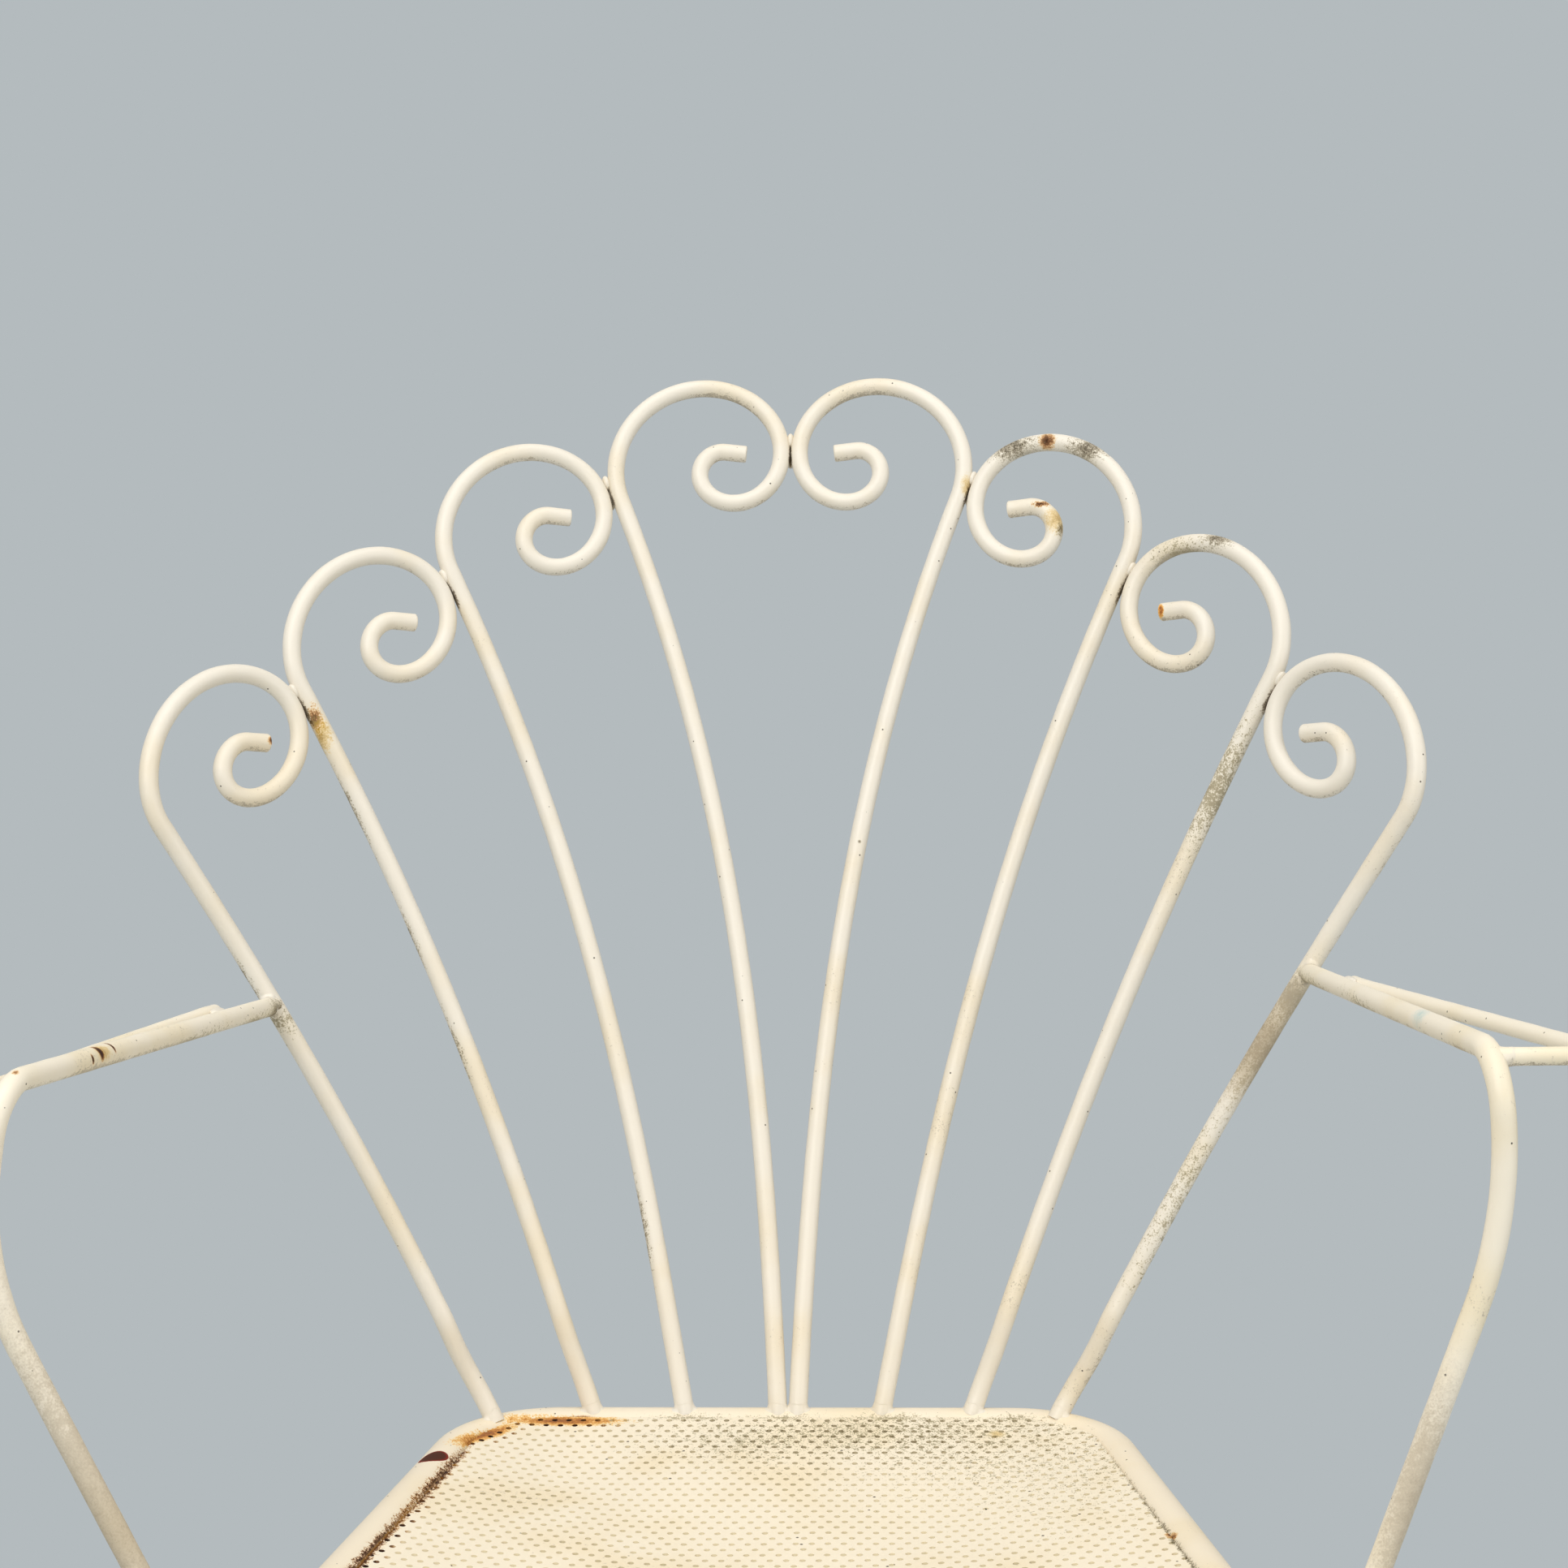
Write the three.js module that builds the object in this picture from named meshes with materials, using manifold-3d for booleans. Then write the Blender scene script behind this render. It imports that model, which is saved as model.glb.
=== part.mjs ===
// A fan-backed garden armchair bent and welded from painted steel rod, tube and sheet.
// Millimetres, +Z up. The sitter looks along -Y, so the back is at the +Y end and +X is on the
// right of someone who stands in front of the chair and looks at it.
import * as THREE from "three";
import { mergeVertices } from "three/addons/utils/BufferGeometryUtils.js";
import Module from "manifold-3d";

const wasm = await Module();
wasm.setup();

// Clearance left between pieces that touch or are welded on the real chair.
const GAP = 0.3;

// Seat rim: a fat tube bent into a trapezoid, wider at the front and more so on the right.
const SEAT_TOP = 430;
const RIM_RADIUS = 9;
const RIM_Z = SEAT_TOP - RIM_RADIUS;
const REAR_HALF_WIDTH = 130;
const SIDE_TAPER = { left: 0.14, right: 0.17 };
const SEAT_DEPTH = 380;
const REAR_CORNER = 42;
const FRONT_CORNER = 60;

// Seat sheet: thin steel, welded inside the rim above the tube's middle and dished to its centre.
// Each opening here is there for about six by six of the real sheet's fine holes.
const SHEET_THICKNESS = 1.2;
const SHEET_SEAT_ANGLE = 44;
const SHEET_DISH = 10;
const OPENING_PITCH = 38;
const OPENING_RADIUS = 9;
const OPENING_MARGIN = 4;

// Fan back: rods lie on a surface that leans back and curves round the sitter.
const ROD_RADIUS = 4;
const FAN_LEAN = 22;
const FAN_CURVE = 315;
const FAN_CURVE_RISE = 50;
const FOOT_DEPTH = 8;
const STEM_BOW = 1.6;
const STEM_STEPS = 7;

// Each side's rods from the middle outwards: where one stands on the rim, how far it leans outwards
// there and at its shoulder, how high up the fan the shoulder is, and its scroll's widest bend.
const BACK_RODS = {
  left: [
    { foot: 3, footLean: 3, shoulderLean: 21.2, shoulder: 413, wide: 41.8 },
    { foot: 42.4, footLean: 10.2, shoulderLean: 26.4, shoulder: 379, wide: 40.7 },
    { foot: 81.4, footLean: 18.5, shoulderLean: 31.5, shoulder: 326.5, wide: 40.2 },
    { foot: 122, footLean: 27.1, shoulderLean: 38.7, shoulder: 270, wide: 40 },
  ],
  right: [
    { foot: 5.5, footLean: 2.8, shoulderLean: 21.1, shoulder: 413, wide: 41.8 },
    { foot: 41, footLean: 11.3, shoulderLean: 25.7, shoulder: 381, wide: 40.8 },
    { foot: 79.2, footLean: 19.7, shoulderLean: 31.2, shoulder: 328, wide: 40.5 },
    { foot: 115, footLean: 28.3, shoulderLean: 39.9, shoulder: 270, wide: 39.9 },
  ],
};

// Scroll: the bend radius shrinks from the widest bend to the hook, half way at so many quarter turns.
const SCROLL_TIGHT = 6;
const SCROLL_HALFWAY = 2.44;
const SCROLL_TURN = 457;
const SCROLL_TAIL = 10;
const SCROLL_STEPS = 30;

// Arms: one rod each, from the outer back rod forward and down to the rim. The left one sits lower,
// its post is bent more at the knee, and its loop droops.
const ARM_FRONT_Y = -290;
const ARM_BEND = 18;
const ARM_DEGREES_PER_STEP = 9;
const ARMS = [
  { name: "left", back: 174, front: 196, frontX: 233.7, knee: 138, kneeX: 242.3, kneeBend: 100, droop: 15 },
  { name: "right", back: 186, front: 205, frontX: 232.5, knee: 154, kneeX: 236.6, kneeBend: 150, droop: 0 },
];

// Armrest loops: a thinner rod that parts from each arm in a straight line and turns back to the
// arm's front bend, so many of the bend's steps from the bend's upper end.
const LOOP_RADIUS = 3;
const LOOP_START_Y = -64;
const LOOP_WELDED_RUN = 12;
const LOOP_TIP_OUT = 38;
const LOOP_END_STEPS = 3;
const LOOP_START_BEND = 60;
const LOOP_TIP_BEND = 12;
const LOOP_DEGREES_PER_STEP = 15;

// Legs: two upside-down U hoops of tube under the rim, with a plastic cap on each end.
const LEG_RADIUS = 8;
const LEG_WALL = 1.5;
const LEG_BEND = 35;
const HOOPS = [
  { name: "front", barY: -320, footX: 215, footY: -345 },
  { name: "rear", barY: -55, footX: 190, footY: 42 },
];
const LEG_END_RISE = 7;
const CAP_FLOOR = 6;
const CAP_HEIGHT = 26;
const CAP_RADIUS = 11.5;
const CAP_TAPER = 1.2;
const GROUND_BLOCK = 100;

// Welds: beads in the grooves between rods, and cones of metal round the ends of rods, which start
// so far below the joint and reach so far above it.
const BEAD_RADIUS = 2.3;
const BEAD_HALF_LENGTH = 8;
const FILLET = 2.6;
const FILLET_TOP = 0.8;
const FOOT_WELD = { below: 4, above: 4.5 };
const POST_WELD = { below: 7, above: 4.5 };
const ARM_WELD = { below: 3, above: 4 };
const LOOP_WELD = { below: 3, above: 3 };
const LEG_WELD_RADIUS = 6.5;
const LEG_WELD_HEIGHT = 9;

// Numbers of flat sides round a section, and of flat steps along a bend or a bead.
const ROD_SIDES = 8;
const RIM_SIDES = 16;
const RIM_CORNER_STEPS = 7;
const SHEET_CORNER_STEPS = 5;
const OPENING_SIDES = 6;
const LEG_SIDES = 8;
const CAP_SIDES = 12;
const WELD_SIDES = 6;
const BEAD_STEPS = 5;
const SAMPLES_PER_STEP = 6;

const paint = new THREE.MeshStandardMaterial({ color: 0xefe6d8, roughness: 0.45, metalness: 0 });
const sheetPaint = new THREE.MeshStandardMaterial({ color: 0xf5e8d0, roughness: 0.5, metalness: 0 });
const weldPaint = new THREE.MeshStandardMaterial({ color: 0xe6dccb, roughness: 0.55, metalness: 0 });
const capPlastic = new THREE.MeshStandardMaterial({ color: 0x4a4744, roughness: 0.7, metalness: 0 });

const chair = new THREE.Group();
const { degToRad } = THREE.MathUtils;
const vec = (x, y, z) => new THREE.Vector3(x, y, z);
const nameOf = (side) => (side < 0 ? "left" : "right");

function addPiece(name, geometry, material) {
  const mesh = new THREE.Mesh(geometry, material);
  mesh.name = name;
  chair.add(mesh);
  return mesh;
}

// A line through given points, with one vertex of the line at each step of a sweep.
class PointLine extends THREE.Curve {
  constructor(points) {
    super();
    this.points = points;
  }

  getUtoTmapping(u) {
    return u;
  }

  getPoint(t, target = new THREE.Vector3()) {
    const place = THREE.MathUtils.clamp(t, 0, 1) * (this.points.length - 1);
    const index = Math.min(Math.floor(place), this.points.length - 2);
    return target.lerpVectors(this.points[index], this.points[index + 1], place - index);
  }
}

// A round rod or, with a wall, an open-ended pipe along a line of points.
function rodAlong(points, radius, sides = ROD_SIDES, wall = 0) {
  const section = new THREE.Shape().absarc(0, 0, radius, 0, 2 * Math.PI);
  if (wall) section.holes.push(new THREE.Path().absarc(0, 0, radius - wall, 0, 2 * Math.PI));
  return new THREE.ExtrudeGeometry(section, {
    curveSegments: sides / 2,
    steps: points.length - 1,
    extrudePath: new PointLine(points),
  });
}

// Straight runs joined by round bends: bends[i] is the bend radius at points[i + 1].
function bentLine(points, bends, degreesPerStep = 12) {
  const line = [points[0]];
  bends.forEach((radius, i) => {
    const corner = points[i + 1];
    const into = corner.clone().sub(points[i]).normalize();
    const out = points[i + 2].clone().sub(corner).normalize();
    const turn = into.angleTo(out);
    const towards = out.clone().addScaledVector(into, -into.dot(out)).normalize();
    const start = corner.clone().addScaledVector(into, -radius * Math.tan(turn / 2));
    const steps = Math.max(2, Math.ceil(turn / degToRad(degreesPerStep)));
    for (let k = 0; k <= steps; k += 1) {
      const angle = (turn * k) / steps;
      const ahead = radius * Math.sin(angle);
      const aside = radius * (1 - Math.cos(angle));
      line.push(start.clone().addScaledVector(into, ahead).addScaledVector(towards, aside));
    }
  });
  line.push(points[points.length - 1]);
  return line;
}

function solidOf(geometry) {
  const bare = geometry.clone();
  bare.deleteAttribute("normal");
  bare.deleteAttribute("uv");
  const merged = mergeVertices(bare, 1e-3);
  const vertProperties = merged.attributes.position.array;
  const triVerts = new Uint32Array(merged.index.array);
  return new wasm.Manifold(new wasm.Mesh({ numProp: 3, vertProperties, triVerts }));
}

function geometryOf(solid) {
  const { vertProperties, triVerts } = solid.getMesh();
  const geometry = new THREE.BufferGeometry();
  geometry.setAttribute("position", new THREE.BufferAttribute(vertProperties, 3));
  geometry.setIndex(new THREE.BufferAttribute(triVerts, 1));
  return geometry;
}

const cutFrom = (solid, cutters) => cutters.reduce((left, cutter) => left.subtract(cutter), solid);

// Where the rim's side, drawn on straight to its corners, lies at a distance along the seat.
const railX = (side, y) => side * (REAR_HALF_WIDTH - SIDE_TAPER[nameOf(side)] * y);

// The rim's centre line seen from above, anticlockwise from the middle of the front, with the
// outward direction at each point.
function rimLine(cornerSteps) {
  const corners = [
    { x: railX(1, -SEAT_DEPTH), y: -SEAT_DEPTH, radius: FRONT_CORNER },
    { x: railX(1, 0), y: 0, radius: REAR_CORNER },
    { x: railX(-1, 0), y: 0, radius: REAR_CORNER },
    { x: railX(-1, -SEAT_DEPTH), y: -SEAT_DEPTH, radius: FRONT_CORNER },
  ];
  const line = [{ x: 0, y: -SEAT_DEPTH, outX: 0, outY: -1 }];
  let heading = 0;
  corners.forEach((corner, i) => {
    const next = corners[(i + 1) % corners.length];
    let turn = Math.atan2(next.y - corner.y, next.x - corner.x) - heading;
    if (turn < 0) turn += 2 * Math.PI;
    const setback = corner.radius * Math.tan(turn / 2);
    const startX = corner.x - setback * Math.cos(heading);
    const startY = corner.y - setback * Math.sin(heading);
    const centreX = startX - corner.radius * Math.sin(heading);
    const centreY = startY + corner.radius * Math.cos(heading);
    for (let k = 0; k <= cornerSteps; k += 1) {
      const outX = Math.sin(heading + (turn * k) / cornerSteps);
      const outY = -Math.cos(heading + (turn * k) / cornerSteps);
      line.push({ x: centreX + corner.radius * outX, y: centreY + corner.radius * outY, outX, outY });
    }
    heading += turn;
  });
  return line;
}

function rimTube(radius) {
  const line = rimLine(RIM_CORNER_STEPS).map(({ x, y }) => vec(x, y, RIM_Z));
  const closed = [...line, line[0]];
  return new THREE.TubeGeometry(new PointLine(closed), line.length, radius, RIM_SIDES, true);
}

// How far in front of the rim's straight rear edge its centre line lies, at a distance from the middle.
function rimSetback(x, side) {
  const turn = Math.PI / 2 - Math.atan(SIDE_TAPER[nameOf(side)]);
  const past = Math.max(0, x - REAR_HALF_WIDTH + REAR_CORNER * Math.tan(turn / 2));
  return REAR_CORNER - Math.sqrt(REAR_CORNER ** 2 - past ** 2);
}

// The dished sheet: a flat plate with rows of openings, then each point let down by how far in it is
// on the way from the outline to the middle.
function dishedSheet() {
  const angle = degToRad(SHEET_SEAT_ANGLE);
  const reach = RIM_RADIUS + GAP + SHEET_THICKNESS / 2;
  const inset = reach * Math.cos(angle);
  const edgeZ = RIM_Z + reach * Math.sin(angle);
  const middleY = -SEAT_DEPTH / 2;
  const insetPoint = ({ x, y, outX, outY }) =>
    new THREE.Vector2(x - outX * inset, y - outY * inset - middleY);
  const outline = rimLine(SHEET_CORNER_STEPS).slice(1).map(insetPoint);
  const edges = outline.map((from, i) => {
    const to = outline[(i + 1) % outline.length];
    const outwards = new THREE.Vector2(to.y - from.y, from.x - to.x).normalize();
    return { outwards, reach: outwards.dot(from) };
  });

  const plan = [outline.map(({ x, y }) => [x, y])];
  const rowPitch = OPENING_PITCH * Math.sin(Math.PI / 3);
  const rows = Math.floor(SEAT_DEPTH / 2 / rowPitch);
  for (let row = -rows; row <= rows; row += 1) {
    const shift = row % 2 ? 0.5 : 0;
    for (let column = -rows; column <= rows; column += 1) {
      const centre = new THREE.Vector2((column + shift) * OPENING_PITCH, row * rowPitch);
      const room = Math.min(...edges.map((edge) => edge.reach - edge.outwards.dot(centre)));
      if (room < OPENING_RADIUS + OPENING_MARGIN) continue;
      const opening = new THREE.Path().absarc(centre.x, centre.y, OPENING_RADIUS, 2 * Math.PI, 0, true);
      const ring = opening.getPoints(OPENING_SIDES / 2).slice(1);
      plan.push(ring.map(({ x, y }) => [x, y]));
    }
  }

  const sheet = wasm.Manifold.extrude(plan, SHEET_THICKNESS).warp((point) => {
    const place = new THREE.Vector2(point[0], point[1]);
    const share = Math.max(...edges.map((edge) => edge.outwards.dot(place) / edge.reach));
    point[2] -= SHEET_DISH * (1 - share ** 2);
  });
  return geometryOf(sheet).translate(0, middleY, edgeZ - SHEET_THICKNESS / 2);
}

// A place on the fan: across its curve from the middle, and up its slope from the top of the rim.
// The surface is flat at the rods' feet and curved round the sitter above them.
function onFan(across, up, footSetback) {
  const lean = degToRad(FAN_LEAN);
  const rise = THREE.MathUtils.smoothstep(up, 0, FAN_CURVE_RISE);
  const bend = rise / FAN_CURVE + 1e-9;
  const x = Math.sin(bend * across) / bend;
  const forward = (1 - Math.cos(bend * across)) / bend + footSetback * (1 - rise);
  return vec(x, up * Math.sin(lean) - forward, SEAT_TOP + up * Math.cos(lean));
}

// A back rod's centre line: a stem whose outward lean grows with height, then a scroll that turns
// inwards and tightens, then a short straight tail.
function backRodLine({ foot, footLean, shoulderLean, shoulder, wide }, side) {
  const setback = rimSetback(foot, side);
  const line = [];
  const place = (across, up) => line.push(onFan(side * across, up, setback));
  const footSlope = Math.tan(degToRad(footLean));
  const growth = Math.tan(degToRad(shoulderLean)) - footSlope;
  place(foot - footSlope * FOOT_DEPTH, -FOOT_DEPTH);
  let across = foot;
  let up = 0;
  for (let k = 0; k <= STEM_STEPS; k += 1) {
    up = (shoulder * k) / STEM_STEPS;
    const bow = (up / shoulder) ** STEM_BOW / (STEM_BOW + 1);
    across = foot + footSlope * up + growth * up * bow;
    place(across, up);
  }
  const turnStep = (SCROLL_TURN + shoulderLean) / SCROLL_STEPS;
  let heading = shoulderLean;
  for (let k = 0; k < SCROLL_STEPS; k += 1) {
    const middle = degToRad(heading - turnStep / 2);
    const quarters = Math.abs(heading - turnStep / 2) / 90;
    const shrink = 1 + (quarters / SCROLL_HALFWAY) ** 3;
    const radius = SCROLL_TIGHT + (wide - SCROLL_TIGHT) / shrink;
    across += radius * degToRad(turnStep) * Math.sin(middle);
    up += radius * degToRad(turnStep) * Math.cos(middle);
    heading -= turnStep;
    place(across, up);
  }
  const tail = degToRad(heading);
  place(across + SCROLL_TAIL * Math.sin(tail), up + SCROLL_TAIL * Math.cos(tail));
  return line;
}

// The point of a line at a height, on its first way up.
function atHeight(line, z) {
  const index = line.findIndex((point) => point.z > z);
  const low = line[index - 1];
  const high = line[index];
  return low.clone().lerp(high, (z - low.z) / (high.z - low.z));
}

// The nearest approach of two lines: a point on the first, the distance and way across to the
// second, and the way along the first.
function nearestApproach(first, second) {
  const sample = (line) => new PointLine(line).getPoints(SAMPLES_PER_STEP * (line.length - 1));
  const a = sample(first);
  const b = sample(second);
  let best = { distance: Infinity };
  a.forEach((p, i) => {
    b.forEach((q) => {
      const distance = p.distanceTo(q);
      if (distance < best.distance) best = { distance, p, q, i };
    });
  });
  const before = a[Math.max(0, best.i - SAMPLES_PER_STEP / 2)];
  const after = a[Math.min(a.length - 1, best.i + SAMPLES_PER_STEP / 2)];
  return {
    from: best.p,
    distance: best.distance,
    across: best.q.clone().sub(best.p).normalize(),
    along: after.clone().sub(before).normalize(),
  };
}

// A weld bead lying in the groove between two rods of given radii, on the side that faces away.
function grooveBead({ from, distance, across, along }, radii, away) {
  const [toFirst, toSecond] = radii.map((radius) => radius + GAP + BEAD_RADIUS);
  const aside = (distance ** 2 + toFirst ** 2 - toSecond ** 2) / (2 * distance);
  const depth = Math.sqrt(toFirst ** 2 - aside ** 2);
  const outwards = away.clone().addScaledVector(along, -away.dot(along));
  outwards.addScaledVector(across, -outwards.dot(across)).normalize();
  const bead = new THREE.SphereGeometry(1, WELD_SIDES, BEAD_STEPS);
  bead.rotateX(Math.PI / 2);
  bead.scale(BEAD_RADIUS, BEAD_RADIUS, BEAD_HALF_LENGTH);
  bead.applyQuaternion(new THREE.Quaternion().setFromUnitVectors(vec(0, 0, 1), along));
  const centre = from.clone().addScaledVector(across, aside).addScaledVector(outwards, depth);
  return bead.translate(centre.x, centre.y, centre.z);
}

// A cone of weld metal round a rod's end, before the pieces that it joins are cut out of it.
function filletCone(at, direction, radius, { below, above }) {
  const top = radius + FILLET_TOP;
  const cone = new THREE.CylinderGeometry(top, radius + FILLET, below + above, WELD_SIDES);
  cone.rotateX(Math.PI / 2);
  cone.translate(0, 0, (above - below) / 2);
  cone.applyQuaternion(new THREE.Quaternion().setFromUnitVectors(vec(0, 0, 1), direction));
  return solidOf(cone.translate(at.x, at.y, at.z));
}

const directionAt = (line, index) => line[index + 1].clone().sub(line[index]).normalize();

// Seat
const rimClearance = solidOf(rimTube(RIM_RADIUS + GAP));
addPiece("seat_rim", rimTube(RIM_RADIUS), paint);
addPiece("seat_sheet", dishedSheet(), sheetPaint);

// Fan back
const fan = [];
for (const side of [-1, 1]) {
  const sideName = nameOf(side);
  BACK_RODS[sideName].forEach((rod, i) => {
    const line = backRodLine(rod, side);
    const rodSolid = cutFrom(solidOf(rodAlong(line, ROD_RADIUS)), [rimClearance]);
    addPiece(`back_rod_${sideName}_${i + 1}`, geometryOf(rodSolid), paint);
    const clearance = solidOf(rodAlong(line, ROD_RADIUS + GAP));
    fan.push({ side, sideName, number: i + 1, line, clearance });
  });
}
const fanRod = (side, number) => fan.find((rod) => rod.side === side && rod.number === number);

// Welds at the rods' feet: the middle pair of rods shares one.
function footFillet({ line }) {
  return filletCone(line[1], directionAt(line, 0), ROD_RADIUS, FOOT_WELD);
}
const middlePair = [fanRod(-1, 1), fanRod(1, 1)];
const middleWeld = footFillet(middlePair[0]).add(footFillet(middlePair[1]));
const middleCutters = [rimClearance, ...middlePair.map((rod) => rod.clearance)];
addPiece("weld_foot_middle", geometryOf(cutFrom(middleWeld, middleCutters)), weldPaint);
for (const rod of fan.filter(({ number }) => number > 1)) {
  const weld = cutFrom(footFillet(rod), [rimClearance, rod.clearance]);
  addPiece(`weld_foot_${rod.sideName}_${rod.number}`, geometryOf(weld), weldPaint);
}

// Welds behind the scrolls, where neighbours touch. The middle pair's feet are as near as its
// scrolls, so its stems are left out.
const backwards = vec(0, 1, 0);
const rodPair = [ROD_RADIUS, ROD_RADIUS];
const middleScrolls = middlePair.map(({ line }) => line.slice(STEM_STEPS + 1));
const middleBead = grooveBead(nearestApproach(...middleScrolls), rodPair, backwards);
addPiece("weld_scroll_middle", middleBead, weldPaint);
for (const rod of fan.filter(({ number }) => number > 1)) {
  const inner = fanRod(rod.side, rod.number - 1);
  const bead = grooveBead(nearestApproach(inner.line, rod.line), rodPair, backwards);
  addPiece(`weld_scroll_${rod.sideName}_${rod.number}`, bead, weldPaint);
}

// Arms
for (const { name, back, front, frontX, knee, kneeX, kneeBend, droop } of ARMS) {
  const side = name === "left" ? -1 : 1;
  const outerRod = fanRod(side, 4);
  const backPoint = atHeight(outerRod.line, SEAT_TOP + back);
  const frontCorner = vec(side * frontX, ARM_FRONT_Y, SEAT_TOP + front);
  const kneeCorner = vec(side * kneeX, ARM_FRONT_Y, SEAT_TOP + knee);
  const postFoot = vec(railX(side, ARM_FRONT_Y), ARM_FRONT_Y, RIM_Z);
  const armCorners = [postFoot, kneeCorner, frontCorner, backPoint];
  const armLine = bentLine(armCorners, [kneeBend, ARM_BEND], ARM_DEGREES_PER_STEP);
  const armSolid = solidOf(rodAlong(armLine, ROD_RADIUS));
  const arm = cutFrom(armSolid, [rimClearance, outerRod.clearance]);
  addPiece(`arm_rod_${name}`, geometryOf(arm), paint);
  const armClearance = solidOf(rodAlong(armLine, ROD_RADIUS + GAP));

  const postUp = directionAt(armLine, 0);
  const onRim = postFoot.clone().addScaledVector(postUp, RIM_RADIUS);
  const postWeld = filletCone(onRim, postUp, ROD_RADIUS, POST_WELD);
  const postCut = cutFrom(postWeld, [rimClearance, armClearance]);
  addPiece(`weld_arm_post_${name}`, geometryOf(postCut), weldPaint);

  const forward = frontCorner.clone().sub(backPoint).normalize();
  const onBackRod = backPoint.clone().addScaledVector(forward, ROD_RADIUS);
  const backWeld = filletCone(onBackRod, forward, ROD_RADIUS, ARM_WELD);
  const backCut = cutFrom(backWeld, [outerRod.clearance, armClearance]);
  addPiece(`weld_arm_back_${name}`, geometryOf(backCut), weldPaint);

  // The loop lies beside the arm: out is square to the arm, away from the sitter and down by the droop.
  const droopAngle = degToRad(droop);
  const out = vec(side * Math.cos(droopAngle), 0, -Math.sin(droopAngle));
  out.addScaledVector(forward, -out.dot(forward)).normalize();
  const beside = ROD_RADIUS + LOOP_RADIUS + GAP;
  const start = (LOOP_START_Y - backPoint.y) / forward.y;
  const besideArm = (along) =>
    backPoint.clone().addScaledVector(forward, along).addScaledVector(out, beside);
  const inArmBend = armLine[armLine.length - 2 - LOOP_END_STEPS];
  const loopCorners = [
    besideArm(start),
    besideArm(start + LOOP_WELDED_RUN),
    inArmBend.clone().addScaledVector(out, LOOP_TIP_OUT),
    inArmBend,
  ];
  const loopBends = [LOOP_START_BEND, LOOP_TIP_BEND];
  const loopLine = bentLine(loopCorners, loopBends, LOOP_DEGREES_PER_STEP);
  const loop = cutFrom(solidOf(rodAlong(loopLine, LOOP_RADIUS)), [armClearance]);
  addPiece(`arm_loop_${name}`, geometryOf(loop), paint);

  const besideRun = {
    from: besideArm(start + LOOP_WELDED_RUN / 2),
    distance: beside,
    across: out.clone().negate(),
    along: forward,
  };
  const startBead = grooveBead(besideRun, [LOOP_RADIUS, ROD_RADIUS], vec(0, 0, 1));
  addPiece(`weld_loop_back_${name}`, startBead, weldPaint);

  const backAlong = directionAt(loopLine, loopLine.length - 2).negate();
  const onArm = inArmBend.clone().addScaledVector(backAlong, ROD_RADIUS);
  const loopWeld = filletCone(onArm, backAlong, LOOP_RADIUS, LOOP_WELD);
  const loopClearance = solidOf(rodAlong(loopLine, LOOP_RADIUS + GAP));
  const loopCut = cutFrom(loopWeld, [armClearance, loopClearance]);
  addPiece(`weld_loop_front_${name}`, geometryOf(loopCut), weldPaint);
}

// Legs
for (const { name, barY, footX, footY } of HOOPS) {
  const barZ = RIM_Z - RIM_RADIUS - GAP - LEG_RADIUS;
  const sides = [-1, 1];
  const corners = sides.map((side) => vec(railX(side, barY) + side * LEG_RADIUS, barY, barZ));
  const soles = sides.map((side) => vec(side * footX, footY, 0));
  const downs = corners.map((corner, i) => soles[i].clone().sub(corner).normalize());
  const ends = soles.map((sole, i) => sole.clone().addScaledVector(downs[i], -LEG_END_RISE));
  const hoopLine = bentLine([ends[0], ...corners, ends[1]], [LEG_BEND, LEG_BEND]);
  addPiece(`leg_hoop_${name}`, rodAlong(hoopLine, LEG_RADIUS, LEG_SIDES, LEG_WALL), paint);

  const barClearance = solidOf(rodAlong(hoopLine, LEG_RADIUS + GAP, LEG_SIDES));
  sides.forEach((side, i) => {
    const touch = vec(railX(side, barY), barY, RIM_Z - RIM_RADIUS);
    const pad = new THREE.CylinderGeometry(LEG_WELD_RADIUS, LEG_WELD_RADIUS, LEG_WELD_HEIGHT, WELD_SIDES);
    const padSolid = solidOf(pad.rotateX(Math.PI / 2).translate(touch.x, touch.y, touch.z));
    const weld = cutFrom(padSolid, [rimClearance, barClearance]);
    addPiece(`weld_leg_${name}_${nameOf(side)}`, geometryOf(weld), weldPaint);

    // The cap is a cup turned to the leg's slope, with its sole cut level with the floor.
    const bore = LEG_RADIUS + GAP;
    const profile = [
      [0, -CAP_FLOOR],
      [CAP_RADIUS, -CAP_FLOOR],
      [CAP_RADIUS, CAP_FLOOR],
      [CAP_RADIUS - CAP_TAPER, CAP_HEIGHT],
      [bore, CAP_HEIGHT],
      [bore, CAP_FLOOR],
      [0, CAP_FLOOR],
    ];
    const cup = new THREE.LatheGeometry(profile.map(([r, z]) => new THREE.Vector2(r, z)), CAP_SIDES);
    const up = downs[i].clone().negate();
    cup.applyQuaternion(new THREE.Quaternion().setFromUnitVectors(vec(0, 1, 0), up));
    cup.translate(soles[i].x, soles[i].y, soles[i].z);
    const ground = new THREE.BoxGeometry(GROUND_BLOCK, GROUND_BLOCK, GROUND_BLOCK);
    const groundSolid = solidOf(ground.translate(soles[i].x, soles[i].y, -GROUND_BLOCK / 2));
    const cap = solidOf(cup).subtract(groundSolid);
    addPiece(`foot_cap_${name}_${nameOf(side)}`, geometryOf(cap), capPlastic);
  });
}

// The origin is the middle of the chair's box, on the ground.
const box = new THREE.Box3().setFromObject(chair);
const middle = box.getCenter(new THREE.Vector3());
chair.position.set(-middle.x, -middle.y, -box.min.z);

export default chair;
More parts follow.
